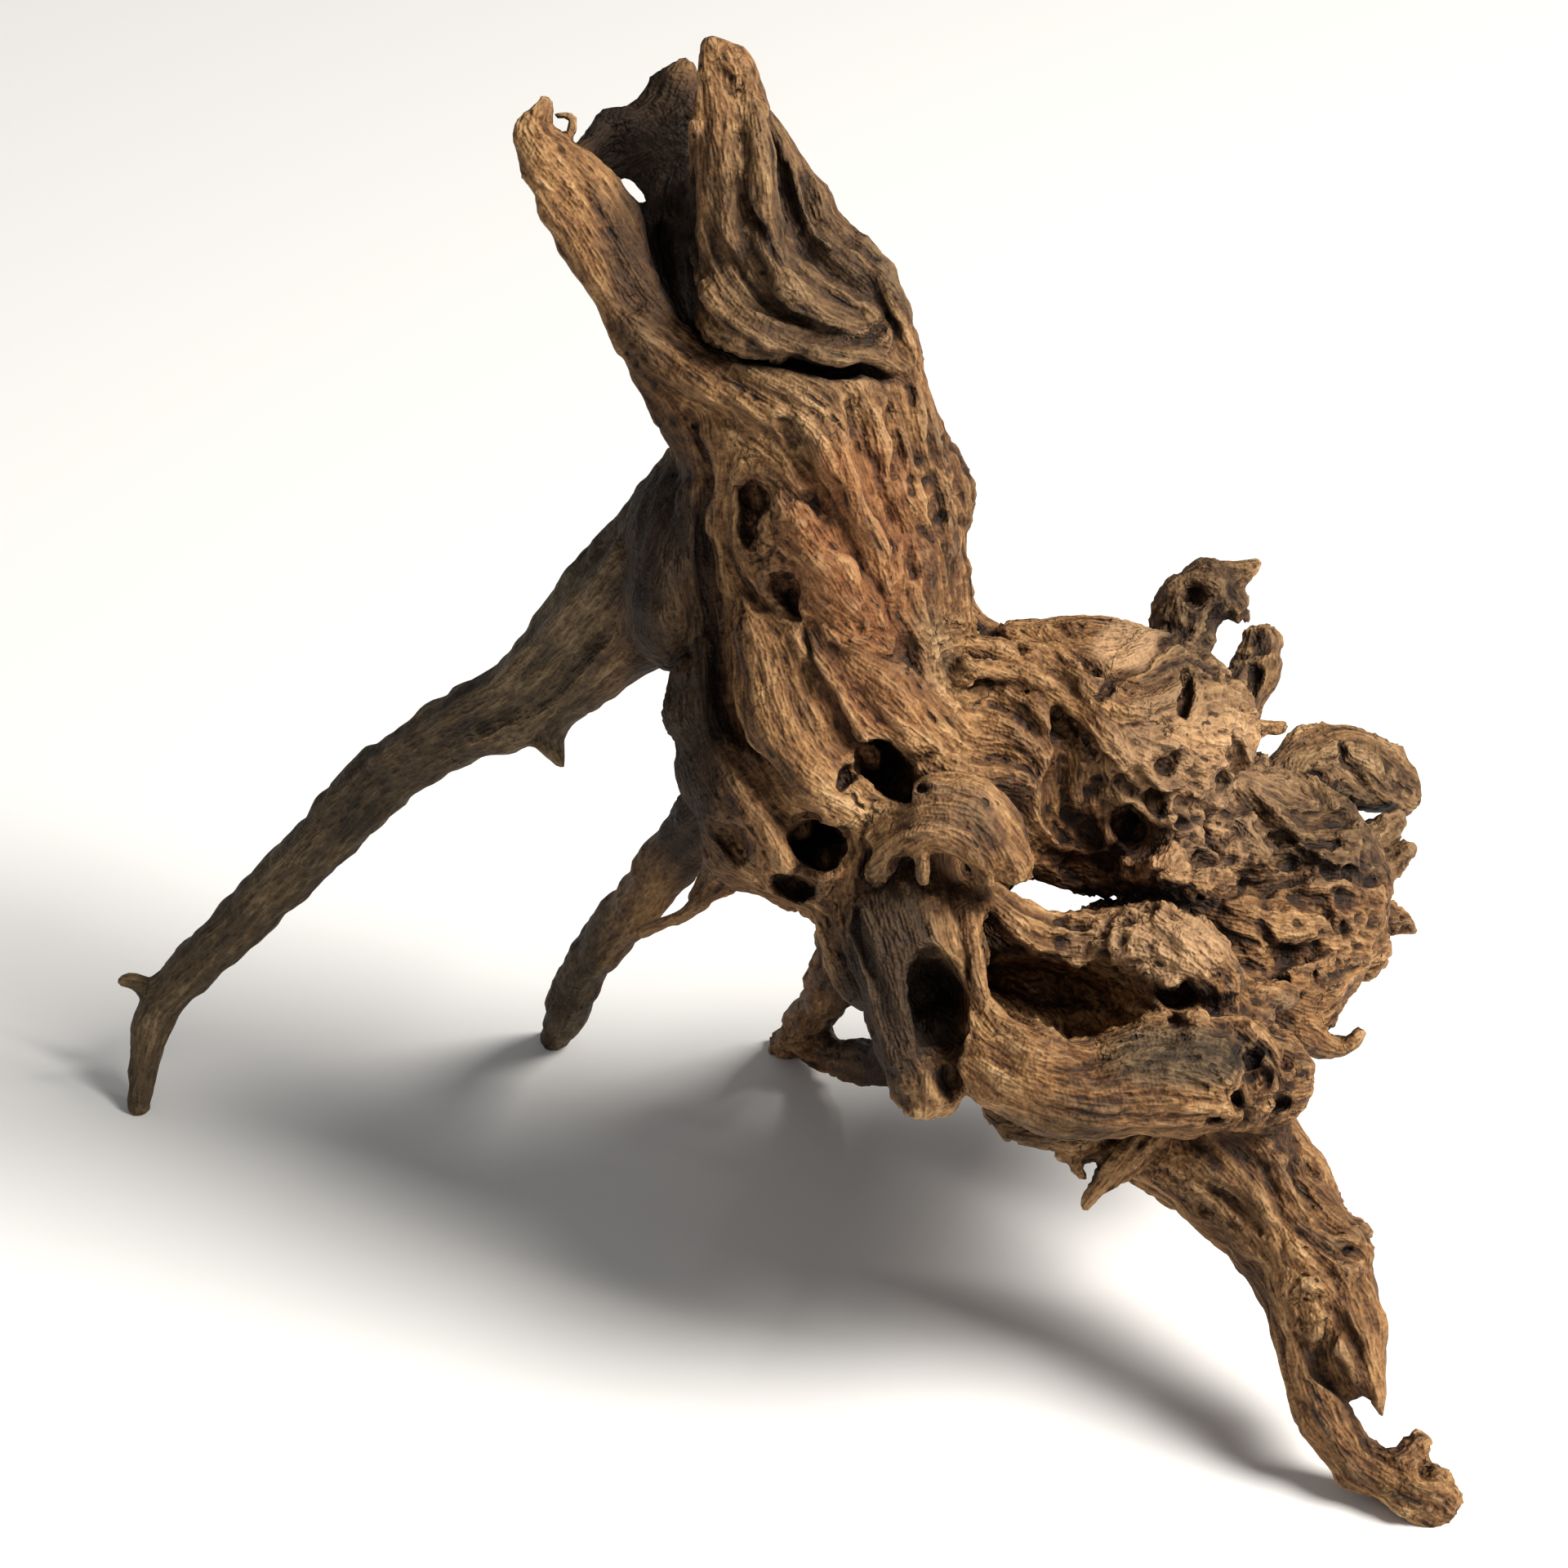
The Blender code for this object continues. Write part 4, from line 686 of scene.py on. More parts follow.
def burl_crags(wood):
    """The sharp folds and torn hollows over the burl's right side."""
    wood.groove([(314, 270, 2.4), (323, 261, 4), (327, 250, 5.4), (326, 240, 6), (326, 230, 6),
        (334, 222, 4)], lift=-0.2)
    wood.ridge([(297, 276, 2.4), (309, 274.5, 3.4), (321, 270, 4), (333, 262, 4), (341, 252, 3.6),
        (348, 242, 3)], lift=0.2)
    wood.ridge([(320, 288, 2), (330, 272, 3), (340, 262, 3.4), (350, 263, 3.2), (360, 269, 2.4)], lift=0.0)
    wood.groove([(335, 266, 1.4), (345, 274, 2.6), (356, 281, 2.4), (362, 285, 1.2)], lift=0.2)
    wood.groove([(304, 286, 1.2), (314, 281, 1.8), (322, 274, 1.8), (329, 268, 1.2)], lift=0.3)
    wood.cut(Lobe(363, 268, wood.face(363, 268) - 2, (3.4, 9, 7), turn=-8), blend=2)
    wood.cut(Lobe(346, 228, wood.face(340, 232) - 6, (5, 5, 12)), blend=2)
    wood.cut(Lobe(373, 216, wood.face(373, 219) - 2, (5.5, 3.5, 8)), blend=2)
    wood.cut(Lobe(359, 247, wood.face(359, 247), (6, 2.4, 5), turn=25), blend=1.5)
    wood.cut(Lobe(375, 240, wood.face(375, 240), (3, 4.4, 5)), blend=1.5)
    wood.cut(Lobe(354, 235, wood.face(354, 235), (3, 4.4, 6), turn=30), blend=1.5)
    wood.cut(Lobe(364, 228, wood.face(364, 228), (4.4, 2.4, 5), turn=-30), blend=1.5)
    for across, up, radius in ((340, 236, 4), (351, 248, 4), (366, 238, 4.4), (356, 224, 4), (369, 226, 3.6),
        (381, 230, 4), (346, 217, 3.6), (385, 246, 4), (372, 252, 4), (382, 262, 3.6), (333, 216, 3.4)):
        wood.add(Lobe(across, up, wood.face(across, up) - 0.5 * radius, (radius, 0.8 * radius, radius),
            across), blend=1.6)


def bowl_folds(wood):
    """The folds round the bowl: the lit fold over it, its pitted lump, and the cracks in the rim."""
    wood.cut(Lobe(322, 176, -8, (25, 9, 24), turn=-14), blend=2)
    wood.ridge([(303, 204, 2), (311, 196, 3), (320, 189, 3.4), (331, 187, 3), (340, 190, 2.4)], lift=0.0)
    wood.groove([(305, 207, 1.2), (314, 201, 2), (326, 198, 2.4), (334, 197, 1.6)], lift=0.2)
    wood.cut(Lobe(361, 177, wood.face(361, 171), (6, 4, 9), turn=-35), blend=1.5)
    for across, up, radius in ((337, 196, 3.4), (346, 199, 3.6), (352, 190, 4), (343, 188, 4), (362, 192, 4),
        (370, 184, 4), (376, 178, 3.4), (357, 182, 3.6)):
        wood.add(Lobe(across, up, wood.face(across, up) - 0.5 * radius, (radius, 0.8 * radius, radius),
            across), blend=1.6)
    wood.groove([(350, 172, 1), (362, 166, 1.8), (374, 164, 1.8), (383, 160, 1)], lift=0.3)
    wood.groove([(378, 160, 1), (384, 152, 2), (384, 142, 2), (380, 134, 1.2)], lift=0.2)
    wood.groove([(371, 152, 1), (377, 146, 1.6), (388, 143, 2), (396, 148, 1.2)], lift=0.2)
    wood.groove([(386, 162, 1), (391, 154, 1.8), (392, 144, 1.6), (388, 136, 1)], lift=0.2)
    for across, up, wide, tall, turn in ((387, 150, 3, 5, 20), (384, 157, 2.4, 4, -30),
        (391, 142, 4, 2.4, 10), (379, 143, 2, 4, 15), (394, 156, 2.4, 4.4, 0), (373, 137, 3.4, 1.8, -10)):
        wood.cut(Lobe(across, up, wood.face(across, up), (wide, tall, 5), turn), blend=1.2)
    wood.groove([(345, 152, 0.8), (358, 150, 1.4), (370, 147, 1)], lift=0.3)
    wood.groove([(322, 142, 0.8), (340, 138, 1.4), (358, 138, 1.2), (372, 139, 0.8)], lift=0.3)


def side_folds(wood):
    """The folds in the knobs and flakes on the right."""
    wood.groove([(394, 232, 1.6), (402, 229, 3.4), (412, 229, 3.6), (420, 230, 2.6)], lift=-0.1)
    wood.groove([(396, 246, 1), (402, 240, 2), (406, 233, 1.6)], lift=0.1)
    wood.groove([(410, 252, 1), (412, 246, 1.8), (418, 240, 1.6), (422, 236, 1)], lift=0.1)
    wood.groove([(425, 246, 0.8), (426, 241, 1.6), (430, 237, 1)], lift=0.1)
    wood.groove([(396, 220, 1.2), (404, 214, 2.4), (414, 212, 2), (422, 210, 1.2)], lift=0.1)
    wood.groove([(396, 206, 1.2), (404, 202, 2), (412, 195, 1.8), (418, 190, 1.2)], lift=0.1)
    wood.groove([(374, 200, 1.2), (385, 196, 1.8), (396, 190, 1.8), (404, 180, 1.2)], lift=0.2)
    wood.groove([(380, 186, 1), (390, 182, 1.6), (400, 174, 1.2)], lift=0.2)
    wood.groove([(366, 206, 1.4), (378, 207, 2.4), (392, 210, 2), (402, 216, 1.2)], lift=0.1)
    wood.pit(393, 222, (5, 4, 6))
    wood.ridge([(371, 306, 1.6), (373, 298, 2.4), (370, 290, 2.4), (366, 283, 2)], lift=0.2)
    wood.ridge([(358, 300, 1.6), (365, 303, 2), (372, 301, 2)], lift=0.2)


def torn_fibres(wood):
    """The torn bits under the rim, the curl at the tip of the plank, and the trimmed edges of the trunk."""
    wood.add(Limb([(304, 140, -9, 3), (309, 134.5, -9, 2.4), (318, 131.5, -10, 3.4), (328, 131, -12, 4)]),
        blend=2)
    wood.add(Limb([(310, 136, -9, 2.4), (307.5, 133, -9, 1.6), (308.5, 130.5, -9, 0.9)]), blend=1)
    wood.add(Limb([(332, 130, -14, 3), (330, 123, -14, 2), (332, 119.5, -14, 1.2)]), blend=1)
    tip = wood.face(168, 441)
    wood.add(Limb([(168, 438, tip - 3, 2.2), (172, 437.5, tip - 4, 1.4), (175.5, 440, tip - 4, 1.2),
        (175, 444, tip - 3, 1.1), (171, 444.5, tip - 2, 0.9)]), blend=1)
    for across, up, turn in ((151.5, 430, 14), (158.5, 414, 20), (165, 398, 26), (171.5, 384, 26),
        (241.5, 448.5, 22), (260, 421, 38)):
        wood.cut(Lobe(across, up, 0, (8, 14, 60), turn=turn), blend=1)


def hollow_floors(wood):
    """The uneven floors of the hollows round the flap and in the column, and their broken edges."""
    for across, up, wide, tall, turn in ((264, 250, 8, 5, -50), (277, 237, 5, 4, 0), (255, 217, 6, 5, 20),
        (245, 226, 4, 4, 0), (288, 163, 8, 8, 8), (281, 178, 5, 8, 10)):
        wood.add(Lobe(across, up, wood.face(across, up), (wide, tall, 9), turn), blend=3)
    for across, up, wide, tall, turn in ((276, 251, 5, 2.4, -35), (259, 242, 2.4, 5, -30),
        (246, 229, 5, 2.4, 30), (258, 224, 2.4, 4, 20), (279, 184, 3, 6, 20), (295, 163, 2.4, 6, 10)):
        wood.cut(Lobe(across, up, wood.face(across, up), (wide, tall, 5), turn), blend=1.5)


def leg_details(wood):
    """The long fold, the scars and the torn edge of the right leg."""
    wood.groove([(404, 84, 1.4), (411, 74, 2.4), (417, 62, 2), (420, 52, 1.2)], lift=0.1)
    wood.groove([(398, 70, 1.2), (404, 60, 2.4), (412, 52, 3), (418, 46, 2)], lift=0.1)
    wood.pit(369, 110, (3.6, 2.6, 5), turn=-30)
    wood.pit(402, 122, (3, 3, 4))
    wood.ridge([(398, 104, 1.4), (406, 100, 2.2), (414, 101, 1.6)], lift=0.0)
    wood.groove([(380, 128, 1), (388, 118, 1.4), (392, 106, 1.2), (393, 94, 1)], lift=0.3)
    wood.pit(436, 30, (2.6, 2.6, 4))
    wood.groove([(414, 44, 1), (420, 36, 1.6), (430, 28, 1.4)], lift=0.2)


def carve():
    """The whole piece, built up in order: later strokes are laid on what stands by then."""
    wood = Wood(FIELD_LOW, FIELD_HIGH, GRID_STEP)
    for shape in (
        trunk, left_limb, burl, middle_limb, rear_roots, trunk_hollow, burl_hollows, trunk_relief,
        burl_relief, back_side, right_leg, knobs, under_spikes, flap, trunk_folds, trunk_knots, flap_band,
        column_edges, burl_crags, bowl_folds, side_folds, torn_fibres, hollow_floors, leg_details, slit,
    ):
        shape(wood)
    return wood


def drop_scraps(mesh):
    """Leaves only the largest body of the mesh: a hollow may cut a thin tip loose."""
    bm = bmesh.new()
    bm.from_mesh(mesh)
    left, largest = set(bm.verts), set()
    while left:
        body, edge = set(), {left.pop()}
        while edge:
            body |= edge
            edge = {e.other_vert(v) for v in edge for e in v.link_edges} - body
        left -= body
        largest = max(largest, body, key=len)
    bmesh.ops.delete(bm, geom=[v for v in bm.verts if v not in largest], context="VERTS")
    bm.to_mesh(mesh)
    bm.free()


class Skin:
    """A mesh's points, normals and edges as arrays, with what is worked out over them."""

    def __init__(self, mesh):
        self.mesh = mesh
        self.count = len(mesh.vertices)
        points = np.empty(self.count * 3, np.float32)
        mesh.vertices.foreach_get("co", points)
        self.points = points.reshape(-1, 3).astype(np.float64)
        self.read_normals()
        edges = np.empty(len(mesh.edges) * 2, np.int32)
        mesh.edges.foreach_get("vertices", edges)
        edges = edges.reshape(-1, 2)
        self.start = np.concatenate([edges[:, 0], edges[:, 1]])
        self.end = np.concatenate([edges[:, 1], edges[:, 0]])

    def read_normals(self):
        normals = np.empty(self.count * 3, np.float32)
        self.mesh.vertex_normals.foreach_get("vector", normals)
        self.normals = normals.reshape(-1, 3).astype(np.float64)

    def gathered(self, values, weights):
        """The weighted mean of the neighbours' values at each point."""
        share = np.bincount(self.start, weights, self.count)
        if values.ndim == 1:
            return np.bincount(self.start, weights * values[self.end], self.count) / np.maximum(share, 1e-9)
        return np.column_stack([self.gathered(v, weights) for v in values.T])

    def smoothed(self, values, rounds):
        weights = np.ones(len(self.start))
        for _ in range(rounds):
            values = 0.5 * values + 0.5 * self.gathered(values, weights)
        return values

    def move(self, pushes):
        self.points += pushes
        self.mesh.vertices.foreach_set("co", self.points.astype(np.float32).ravel())
        self.mesh.update()
        self.read_normals()


def grain_of(skin, wood):
    """The direction of the grain at each point: along the limbs and strokes near it, and round the knots."""
    pairs = ((0, 0), (1, 1), (2, 2), (0, 1), (0, 2), (1, 2))
    tensors = np.zeros((skin.count, len(pairs)))

    def tell(places, ways, weights):
        for k, (i, j) in enumerate(pairs):
            tensors[places, k] += weights * ways[:, i] * ways[:, j]

    for stroke in wood.strokes:
        reach = KNOT_REACH + stroke.curve[:, 3].max() * max(1.0, stroke.flat)
        low, high = stroke.curve[:, :3].min(0) - reach, stroke.curve[:, :3].max(0) + reach
        near = np.nonzero(((skin.points > low) & (skin.points < high)).all(1))[0]
        if not len(near):
            continue
        best = np.full(len(near), 1e9)
        way = np.zeros((len(near), 3))
        radius = np.ones(len(near))
        for a, b in zip(stroke.curve, stroke.curve[1:]):
            axis = b[:3] - a[:3]
            gap = skin.points[near] - 0.5 * (a[:3] + b[:3])
            gap = np.linalg.norm(gap, axis=1) - max(a[3], b[3])
            closer = gap < best
            best[closer] = gap[closer]
            way[closer] = axis / max(np.linalg.norm(axis), 1e-9)
            radius[closer] = max(a[3], b[3])
        tell(near, way, np.exp(-np.maximum(best, 0.0) / 4.0) * np.minimum(1.0, 6.0 / radius))
    for knot in wood.knots:
        away = skin.points - knot.middle
        gap = np.linalg.norm(away, axis=1) - knot.radii[:2].mean()
        near = np.nonzero(gap < KNOT_REACH)[0]
        ways = np.cross(skin.normals[near], away[near])
        ways /= np.maximum(np.linalg.norm(ways, axis=1, keepdims=True), 1e-9)
        tell(near, ways, 1.5 * np.exp(-np.abs(gap[near]) / 3.0))
    tensors = skin.smoothed(tensors, 12)
    full = np.empty((skin.count, 3, 3))
    for k, (i, j) in enumerate(pairs):
        full[:, i, j] = full[:, j, i] = tensors[:, k]
    flat = np.eye(3) - skin.normals[:, :, None] * skin.normals[:, None, :]
    _, axes = np.linalg.eigh(flat @ full @ flat)
    return one_way(skin, axes[:, :, 2])


def one_way(skin, ways):
    """Turns neighbouring directions to the same end, so that they can be averaged."""
    ways = ways * np.where(ways @ np.array(GRAIN_RUNS) < 0.0, -1.0, 1.0)[:, None]
    weights = np.ones(len(skin.start))
    for _ in range(40):
        around = skin.gathered(ways, weights)
        ways = np.where((ways * around).sum(1)[:, None] < 0.0, -ways, ways)
    return ways


class GrainMap:
    """The grain's direction in small cells round the surface, to follow it from any place."""

    CELL = 2.5
    MARGIN = 30.0

    def __init__(self, skin, grain):
        self.low = skin.points.min(0) - self.MARGIN
        self.shape = np.ceil((skin.points.max(0) + self.MARGIN - self.low) / self.CELL).astype(int)
        cells = self.cell(skin.points)
        size = int(np.prod(self.shape))
        self.ways = np.column_stack([np.bincount(cells, grain[:, k], size) for k in range(3)])
        self.ways /= np.maximum(np.linalg.norm(self.ways, axis=1, keepdims=True), 1e-9)

    def cell(self, points):
        i, j, k = ((points - self.low) / self.CELL).astype(int).T
        return (i * self.shape[1] + j) * self.shape[2] + k

    def streaks(self, points, grain, size, step, count, seed):
        """Noise averaged over steps along the grain, both ways from each point."""
        total = noise(*(points / size).T, seed)
        for side in (-1.0, 1.0):
            place, way = points.copy(), grain * side
            for _ in range(count):
                found = self.ways[self.cell(place)]
                found = found * np.where((found * way).sum(1) < 0.0, -1.0, 1.0)[:, None]
                way = np.where(np.abs(found).sum(1)[:, None] > 0.0, found, way)
                place += step * way
                total = total + noise(*(place / size).T, seed)
        return total / total.std()


def spots(points, size, seed):
    """The distance to the nearest of scattered spots, about one in each cube of this size, in sizes."""
    cells = np.floor(points / size).astype(np.int64)
    nearest = np.full(len(points), 9.0)
    for step in np.ndindex(3, 3, 3):
        i, j, k = (cells + np.array(step) - 1).T
        place = i * 73856093 + j * 19349663 + k * 83492791
        jitter = [hashed(place + (seed * 3 + axis) * 1274126177) / 65535.0 for axis in range(3)]
        spot = (np.column_stack([i, j, k]) + np.column_stack(jitter)) * size
        nearest = np.minimum(nearest, np.linalg.norm(points - spot, axis=1) / size)
    return nearest


def drawn(points):
    """Where points of the drawing's frame are seen on the sheet: across and up."""
    spread = (EYE_DISTANCE - points[:, 2]) / EYE_DISTANCE
    return points[:, 0] / spread + SHEET / 2, points[:, 1] / spread + SHEET / 2


def patch(points, across, up, wide, tall, out=None, depth=60.0):
    """A soft oval patch of the sheet, 1 in its middle and 0 outside it, near a depth where one is given."""
    x, y = drawn(points)
    share = np.clip(1.3 - np.hypot((x - across) / wide, (y - up) / tall), 0.0, 1.0)
    if out is not None:
        share = share * np.clip(1.5 - np.abs(points[:, 2] - out) / depth, 0.0, 1.0)
    return np.minimum(1.0, share * 2.0)


def patches(points, rows):
    """Patches laid over one another, each row with its strength first."""
    return np.clip(sum(strength * patch(points, *row) for strength, *row in rows), 0.0, 1.0)


def corner(points, across, up, softness):
    """1 on the part of the sheet to the left of a place and below it, and 0 on the rest."""
    x, y = drawn(points)
    wide, tall = softness
    return np.clip((across - x) / wide, 0.0, 1.0) * np.clip((up - y) / tall, 0.0, 1.0)


def creased(streaks):
    """Streaks with round backs and sharp valleys between them."""
    return 1.4 * np.sqrt(np.abs(streaks)) - 1.0


def warped(points, size, reach, seed):
    """A smooth uneven push of each point, in every direction."""
    x, y, z = (points / size).T
    return reach * np.column_stack([noise(x, y, z, seed + k) for k in range(3)])


def openness(wood, skin, distance, full):
    """How far a point stands from the nearest wood, a distance out along its normal, as a share."""
    return wood.at(skin.points + skin.normals * distance) / full


def weather(skin, wood):
    """Raises the grain, cracks and worm-eaten patches on the mesh, and gives what the material reads, with
    the masks of painted shade.
    """
    before = skin.points.copy()
    grain = grain_of(skin, wood)
    paths = GrainMap(skin, grain)
    fine, broad, wide = (paths.streaks(before, grain, *streak) for streak in STREAKS)
    lumps = noise(*(before / 17).T, 1) + 0.5 * noise(*(before / 8).T, 2)
    sound = np.maximum(corner(before, *LEFT_LIMB), corner(before, *MIDDLE_LIMB))
    eaten = patches(before, EATEN) + 0.6 * np.clip(noise(*(before / 30).T, 5) * 2.0 - 0.9, 0.0, 1.0)
    eaten = np.clip(eaten, 0.0, 1.0) * ((1.0 - sound) * (1.0 - patch(before, *WHOLE_SPOT)))
    pitted = np.clip(1.0 - spots(before, 7.5, 3) / 0.5, 0.0, 1.0) * eaten
    gnawed = np.clip(1.0 - spots(before, 4.2, 4) / 0.55, 0.0, 1.0) * eaten
    crags = creased(noise(*(before / 5).T, 21)) * eaten
    rough = np.clip(1.0 - 0.55 * patches(before, SMOOTH) - 0.75 * sound, 0.0, 1.0)
    heights = LUMP_HEIGHT * lumps * (1.0 - 0.8 * sound)
    heights += (FINE_HEIGHT * fine + BROAD_HEIGHT * creased(broad) + WIDE_HEIGHT * creased(wide)) * rough
    heights += CRAG_HEIGHT * crags - PIT_DEPTH * pitted - GNAW_DEPTH * gnawed
    thin = np.clip(-openness(wood, skin, -3.0, 3.0), 0.15, 1.0)
    skin.move(skin.normals * (heights * thin)[:, None])

    # How open each point lies and how hollow it is: the material paints shade into the hollows from these,
    # and paler edges
    open_near = np.clip(openness(wood, skin, 3.0, 3.0), 0.0, 1.0)
    far = (np.clip(openness(wood, skin, d, min(d, 11.0)), -0.3, 1.0) for d in OPEN_REACHES)
    open_far = np.clip(sum(far) / len(OPEN_REACHES), 0.0, 1.0)
    hollow = ((skin.smoothed(skin.points, 10) - skin.points) * skin.normals).sum(1)
    hollow = np.clip(hollow / 0.9, -1.0, 1.0)
    grey = corner(skin.points, *GREY_LIMBS_IN_SHADE)
    for strength, *row in GREY_PATCHES:
        grey = np.maximum(grey, strength * patch(skin.points, *row))
    # Patches of red and pale wood, and patches of painted shade
    red, painted_shade, pale = (patches(skin.points, rows) for rows in (RED_PATCHES, PAINTED_SHADE_PATCHES, PALE_PATCHES))
    skin.move(warped(before, 12.0, 1.2, 31) + warped(before, 5.5, 0.9, 41))
    return {
        "grain": grain,
        "marks": 0.5 + 0.16 * np.column_stack([fine, broad, wide]),
        "painted_shade_and_edges": np.column_stack([0.5 + 0.5 * hollow, open_near, open_far]),
        "zones": np.column_stack([grey, red, pale]),
        # The patches of painted shade, the pits and the sound wood
        "shade_and_rot": np.column_stack([painted_shade, np.clip(pitted + 0.5 * gnawed, 0.0, 1.0), sound]),
    }


def lean(size):
    """The turn from the drawing's frame, which faces the camera, to the standing one."""
    return Matrix.Rotation(math.pi / 2 - EYE_ELEVATION, size, "X")


def stand_up():
    """From the drawing's frame to the standing one, in metres, with the floor at zero height."""
    drop = Matrix.Translation((-CENTRE_ACROSS, -CENTRE_DEPTH, -FLOOR_HEIGHT))
    return Matrix.Scale(MM, 4) @ drop @ lean(4)


def turn_grain(mesh):
    """The stored direction turns with the mesh."""
    layer = mesh.attributes["grain"].data
    ways = np.empty(len(layer) * 3, np.float32)
    layer.foreach_get("vector", ways)
    ways = ways.reshape(-1, 3) @ np.array(lean(3), np.float32).T
    ways /= np.maximum(np.linalg.norm(ways, axis=1, keepdims=True), 1e-6)
    layer.foreach_set("vector", np.ascontiguousarray(ways).ravel())


def flat_feet(mesh):
    """Takes off what reaches down to the floor, and closes the feet."""
    bm = bmesh.new()
    bm.from_mesh(mesh)
    whole = [*bm.verts, *bm.edges, *bm.faces]
    plane = {"plane_co": (0, 0, FOOT_GAP), "plane_no": (0, 0, 1)}
    bmesh.ops.bisect_plane(bm, geom=whole, clear_inner=True, **plane)
    rims = [e for e in bm.edges if e.is_boundary]
    bmesh.ops.holes_fill(bm, edges=rims, sides=0)
    bm.to_mesh(mesh)
    bm.free()


def fewer_faces(piece):
    """Thins the mesh out to the number of triangles it may have, mostly where the camera doesn't look."""
    mesh = piece.data
    seen = Skin(mesh).normals[:, 2] > -0.1
    rear = piece.vertex_groups.new(name="rear")
    rear.add(np.nonzero(~seen)[0].tolist(), 1.0, "REPLACE")
    rear.add(np.nonzero(seen)[0].tolist(), 0.35, "REPLACE")
    thin = piece.modifiers.new("fewer_faces", "DECIMATE")
    thin.ratio = min(1.0, TRIANGLES / (2 * len(mesh.polygons)))
    thin.vertex_group = "rear"
    graph = bpy.context.evaluated_depsgraph_get()
    done = bpy.data.meshes.new_from_object(piece.evaluated_get(graph))
    piece.modifiers.clear()
    piece.vertex_groups.clear()
    piece.data = done
    bpy.data.meshes.remove(mesh)
    return done


def store(mesh, values):
    for name, column in values.items():
        layer = mesh.attributes.new(name, "FLOAT_VECTOR", "POINT")
        layer.data.foreach_set("vector", np.ascontiguousarray(column, np.float32).ravel())


class Nodes:
    """A short way to write a material's nodes."""

    def __init__(self, material):
        material.use_nodes = True
        self.tree = material.node_tree
        self.tree.nodes.clear()

    def put(self, value, socket):
        """Links an output to a socket, or sets the socket to a number or colour."""
        if isinstance(value, bpy.types.NodeSocket):
            self.tree.links.new(value, socket)
        elif value is not None:
            socket.default_value = value

    def node(self, kind, settings=(), **inputs):
        made = self.tree.nodes.new(kind)
        for name, value in dict(settings).items():
            setattr(made, name, value)
        for name, value in inputs.items():
            self.put(value, made.inputs[name.replace("_", " ")])
        return made

    def math(self, operation, a, b=None, c=None):
        made = self.tree.nodes.new("ShaderNodeMath")
        made.operation = operation
        for value, socket in zip((a, b, c), made.inputs):
            self.put(value, socket)
        return made.outputs[0]

    def shift(self, start, way, by):
        """A place moved along a direction."""
        made = self.tree.nodes.new("ShaderNodeVectorMath")
        made.operation = "MULTIPLY_ADD"
        self.put(way, made.inputs[0])
        made.inputs[1].default_value = (by, by, by)
        self.put(start, made.inputs[2])
        return made.outputs[0]

    def along_grain(self, place, way, scale, step, count):
        """Noise averaged at places along the grain, between 0 and 1."""
        total = None
        for k in range(count):
            moved = self.shift(place, way, (k - (count - 1) / 2) * step)
            inputs = {"Vector": moved, "Scale": scale, "Detail": 0.0}
            speck = self.node("ShaderNodeTexNoise", **inputs).outputs["Fac"]
            total = speck if total is None else self.math("ADD", total, speck)
        return self.math("MULTIPLY_ADD", total, AVERAGE_GAIN / count, 0.5 - AVERAGE_GAIN / 2)

    def checks(self, place, mask):
        """Thin cracks round small blocks, where the mask is high: 1 in a crack and 0 beside it."""
        jitter = self.node("ShaderNodeTexNoise", Vector=place, Scale=160.0, Detail=1.0).outputs["Color"]
        moved = self.shift(place, jitter, 0.008)
        kind = {"feature": "DISTANCE_TO_EDGE"}
        blocks = self.node("ShaderNodeTexVoronoi", kind, Vector=moved, Scale=170.0)
        near = self.span(blocks.outputs["Distance"], 0.05, 0.0)
        return self.math("MULTIPLY", near, self.span(mask, 0.56, 0.66))

    def span(self, value, start, end):
        """0 at the start and 1 at the end, smoothly between."""
        made = self.node("ShaderNodeMapRange", {"interpolation_type": "SMOOTHSTEP"}, Value=value)
        made.inputs["From Min"].default_value = start
        made.inputs["From Max"].default_value = end
        return made.outputs["Result"]

    def noise(self, place, scale, detail, roughness):
        inputs = {"Vector": place, "Scale": scale, "Detail": detail, "Roughness": roughness}
        return self.node("ShaderNodeTexNoise", **inputs).outputs["Fac"]

    def ramp(self, value, stops):
        """A colour for each value, from stops of (value, colour)."""
        made = self.tree.nodes.new("ShaderNodeValToRGB")
        elements = made.color_ramp.elements
        while len(elements) < len(stops):
            elements.new(0.5)
        for element, (place, colour) in zip(elements, stops):
            element.position = place
            element.color = (*colour, 1.0)
        self.put(value, made.inputs[0])
        return made.outputs[0]

    def mix(self, share, a, b, blend="MIX"):
        """The colour a, with a share of the colour b laid over it."""
        made = self.tree.nodes.new("ShaderNodeMix")
        made.data_type = "RGBA"
        made.blend_type = blend
        self.put(share, made.inputs[0])
        self.put((*a, 1.0) if isinstance(a, tuple) else a, made.inputs[6])
        self.put((*b, 1.0) if isinstance(b, tuple) else b, made.inputs[7])
        return made.outputs[2]

    def split(self, name):
        """The three numbers of a stored attribute."""
        told = self.node("ShaderNodeAttribute", {"attribute_name": name})
        return self.node("ShaderNodeSeparateXYZ", Vector=told.outputs["Vector"]).outputs


